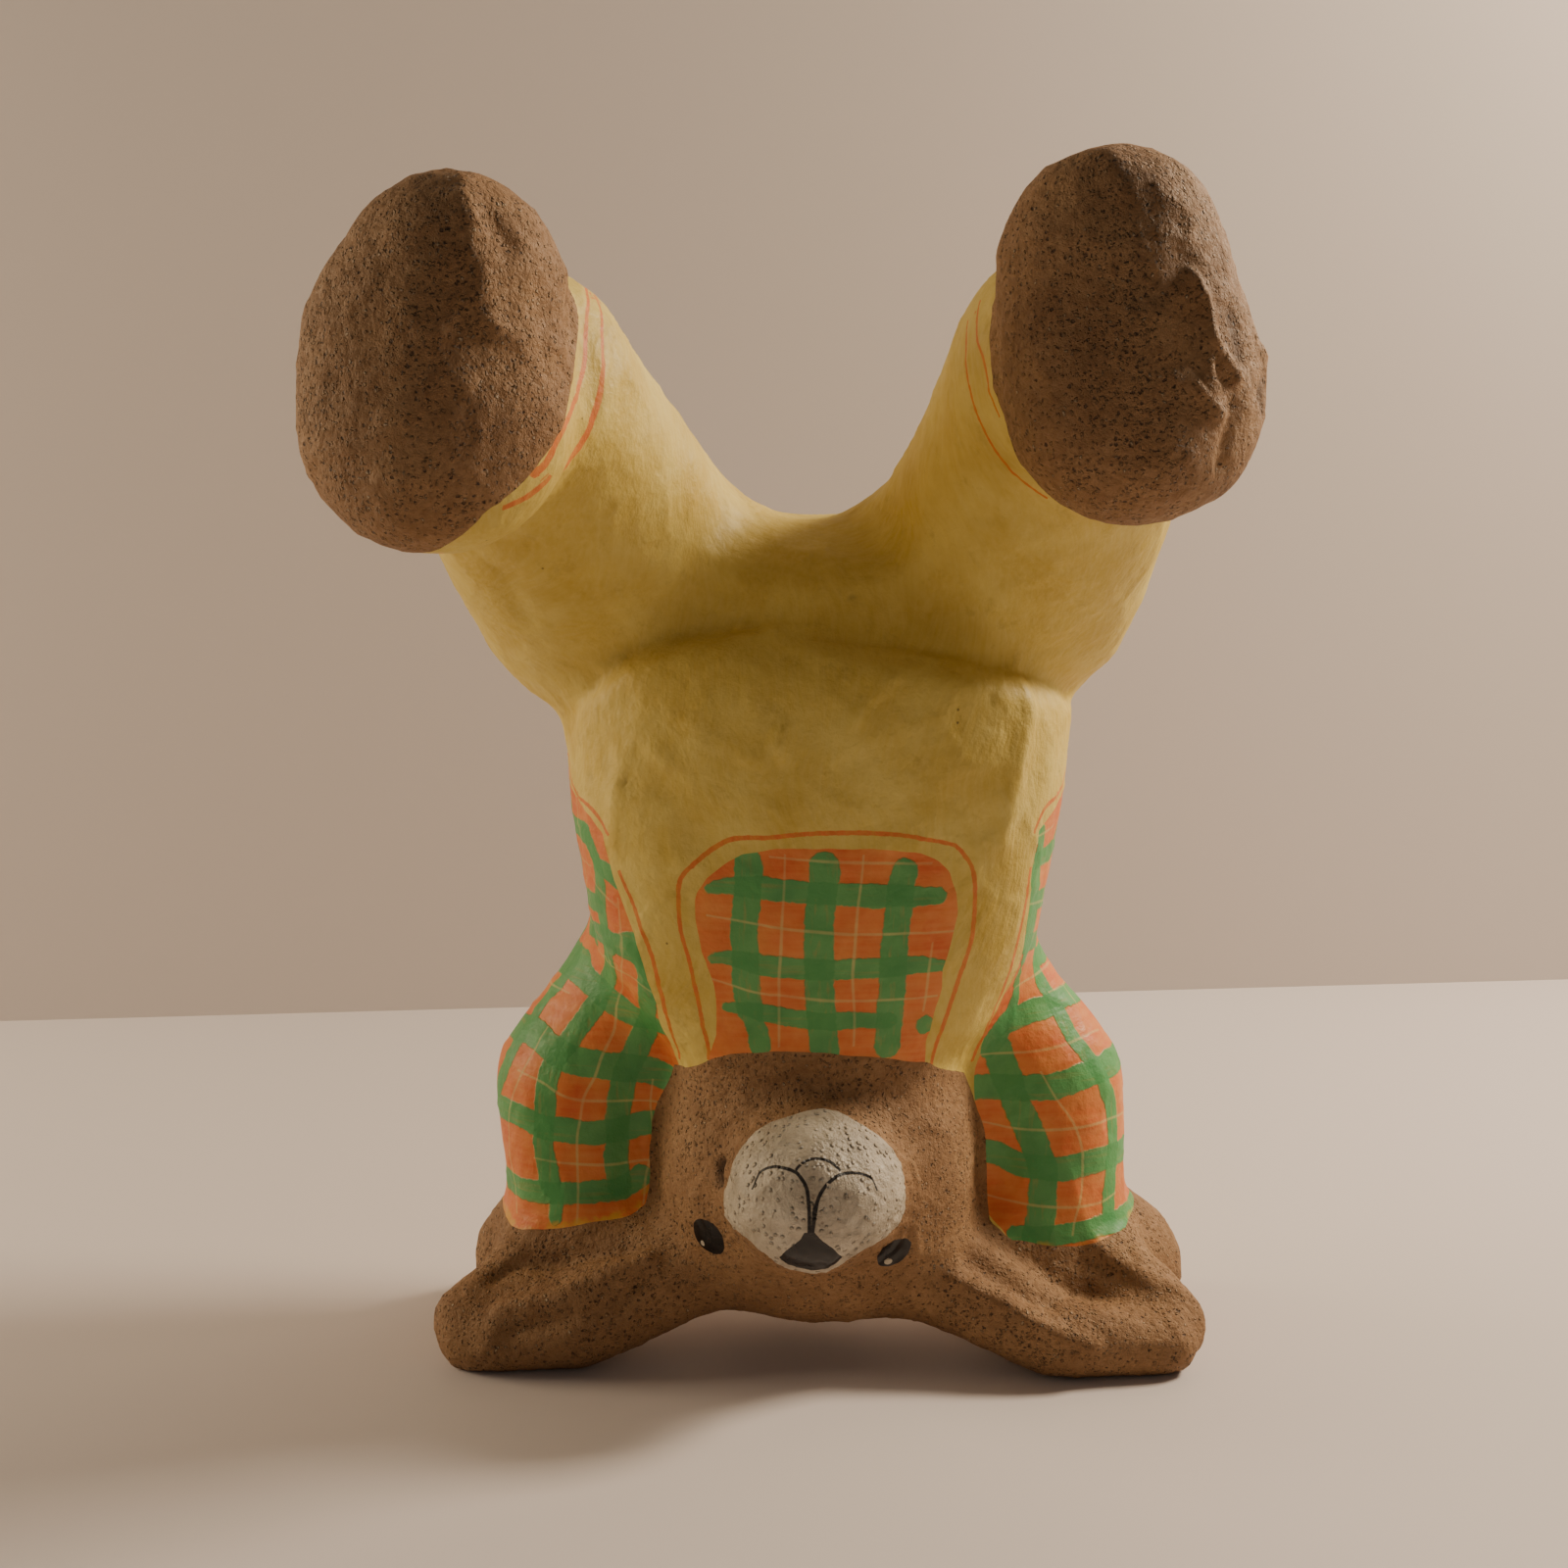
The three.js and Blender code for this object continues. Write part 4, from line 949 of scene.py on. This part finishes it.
COATS = {"brown": brown, "shirt": shirt, "muzzle": muzzle, "nose": nose, "eyes": eyes, "glints": glints}
LINES = {"mouth_side": mouth_side, "mouth_far": mouth_far, "mouth_half": mouth_half,
         "lip_side": lip_side, "lip_far": lip_far, "lip_half": lip_half,
         "stitch_side": stitch_side, "stitch_far": stitch_far, "stitch_half": stitch_half,
         "level_band": level_band, "upright_band": upright_band,
         "level_side": level_side, "level_far": level_far, "level_half": level_half,
         "upright_side": upright_side, "upright_far": upright_far, "upright_half": upright_half,
         "painted_hollow_shade": painted_hollow_shade, "coarse": coarse, "hem": hem}
for name, values in {**COATS, **LINES}.items():
    layer = figure.data.attributes.new(name, "FLOAT", "POINT")
    layer.data.foreach_set("value", np.asarray(values, np.float32))

cut = bmesh.new()
cut.from_mesh(figure.data)
layers = {name: cut.verts.layers.float[name] for name in COATS}


def cut_edge(name, where=lambda point: True):
    """Splits the skin along the line where a coat's distance is zero."""
    field = layers[name]
    for point in cut.verts:
        if abs(point[field]) < ON_EDGE:
            point[field] = 0.0
    crossing = [edge for edge in cut.edges
                if edge.verts[0][field] * edge.verts[1][field] < 0 and where(edge.verts[0])]
    faces = set()
    for edge in crossing:
        a, b = edge.verts
        share = a[field] / (a[field] - b[field])
        faces.update(edge.link_faces)
        made = bmesh.utils.edge_split(edge, a, share)[1]
        made[field] = 0.0
    for face in list(faces):
        ends = [point for point in face.verts if point[field] == 0.0]
        if len(ends) == 2 and not any(set(edge.verts) == set(ends) for edge in face.edges):
            bmesh.utils.face_split(face, ends[0], ends[1])


cut_edge("brown")
cut_edge("shirt", lambda point: point[layers["brown"]] < 0.5)
cut_edge("muzzle")
cut_edge("nose")
cut_edge("eyes")
cut_edge("glints")
bmesh.ops.triangulate(cut, faces=cut.faces[:])
for material in (yellow, coat, plaid, white, black):
    figure.data.materials.append(material)
YELLOW, BROWN, PLAID, WHITE, BLACK = range(5)
for face in cut.faces:
    face.smooth = True
    mean = {name: sum(point[layers[name]] for point in face.verts) for name in COATS}
    face.material_index = YELLOW
    if mean["shirt"] > 0:
        face.material_index = PLAID
    if mean["brown"] > 0:
        face.material_index = BROWN
    if mean["muzzle"] > 0:
        face.material_index = WHITE
    if mean["nose"] > 0 or mean["eyes"] > 0:
        face.material_index = BLACK
    if mean["glints"] > 0:
        face.material_index = WHITE
cut.to_mesh(figure.data)
cut.free()
figure.data.update()
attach(figure, "root")
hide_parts("handstand_animal")


# The stage: a plain pale floor and a plain pale backdrop, and warm soft light. The main lamp stands high behind on the
# right, a softer and weaker one low on the left, and a broad faint one in front. Each is aimed at the figure's middle.
AIM = Vector((0, 0, 0.2))
BACKDROP_TURN = 6.2

bpy.ops.object.select_all(action="DESELECT")
bpy.ops.mesh.primitive_plane_add(size=4, location=(0, -1.2, 0))
floor = bpy.context.object
floor.name = "pale_floor"
upright_turned = (math.radians(90), 0, math.radians(BACKDROP_TURN))
bpy.ops.mesh.primitive_plane_add(size=4, location=(0, 0.5153, 1.95), rotation=upright_turned)
wall = bpy.context.object
wall.name = "pale_backdrop"
for thing, code in ((floor, "#d9cfca"), (wall, "#cdc2ba")):
    surface, tree, shader, place = finish(thing.name + "_paint")
    shader.inputs["Base Color"].default_value = paint(code)
    shader.inputs["Roughness"].default_value = 0.6
    thing.data.materials.append(surface)

# The backdrop is painted on its front alone, so that the figure can be looked at from behind as well.
rear = node(tree, "ShaderNodeNewGeometry")["Backfacing"]
clear = node(tree, "ShaderNodeBsdfTransparent")[0]
painted = node(tree, "ShaderNodeMixShader", {0: rear, 1: shader.outputs[0], 2: clear})[0]
tree.links.new(painted, tree.nodes["Material Output"].inputs[0])

LAMPS = (("main_lamp", (1.0, 0.3, 0.9), 0.3, 22, (1.0, 0.85, 0.66)),
         ("left_lamp", (-1.1, 0.15, 0.5), 0.6, 8, (1.0, 0.82, 0.58)),
         ("fill_lamp", (-0.3, -1.4, 0.55), 1.0, 0.7, (1.0, 0.91, 0.83)))
for name, place, size, power, tint in LAMPS:
    bpy.ops.object.light_add(type="AREA", location=place)
    lamp = bpy.context.object
    lamp.name = name
    lamp.visible_camera = False
    lamp.data.size = size
    lamp.data.energy = power
    lamp.data.color = tint
    lamp.rotation_euler = (AIM - Vector(place)).to_track_quat("-Z", "Y").to_euler()
world = bpy.data.worlds.new("soft_room")
bpy.context.scene.world = world
world.use_nodes = True
world.node_tree.nodes["Background"].inputs[0].default_value = (1.0, 0.9, 0.81, 1)
world.node_tree.nodes["Background"].inputs[1].default_value = 0.105
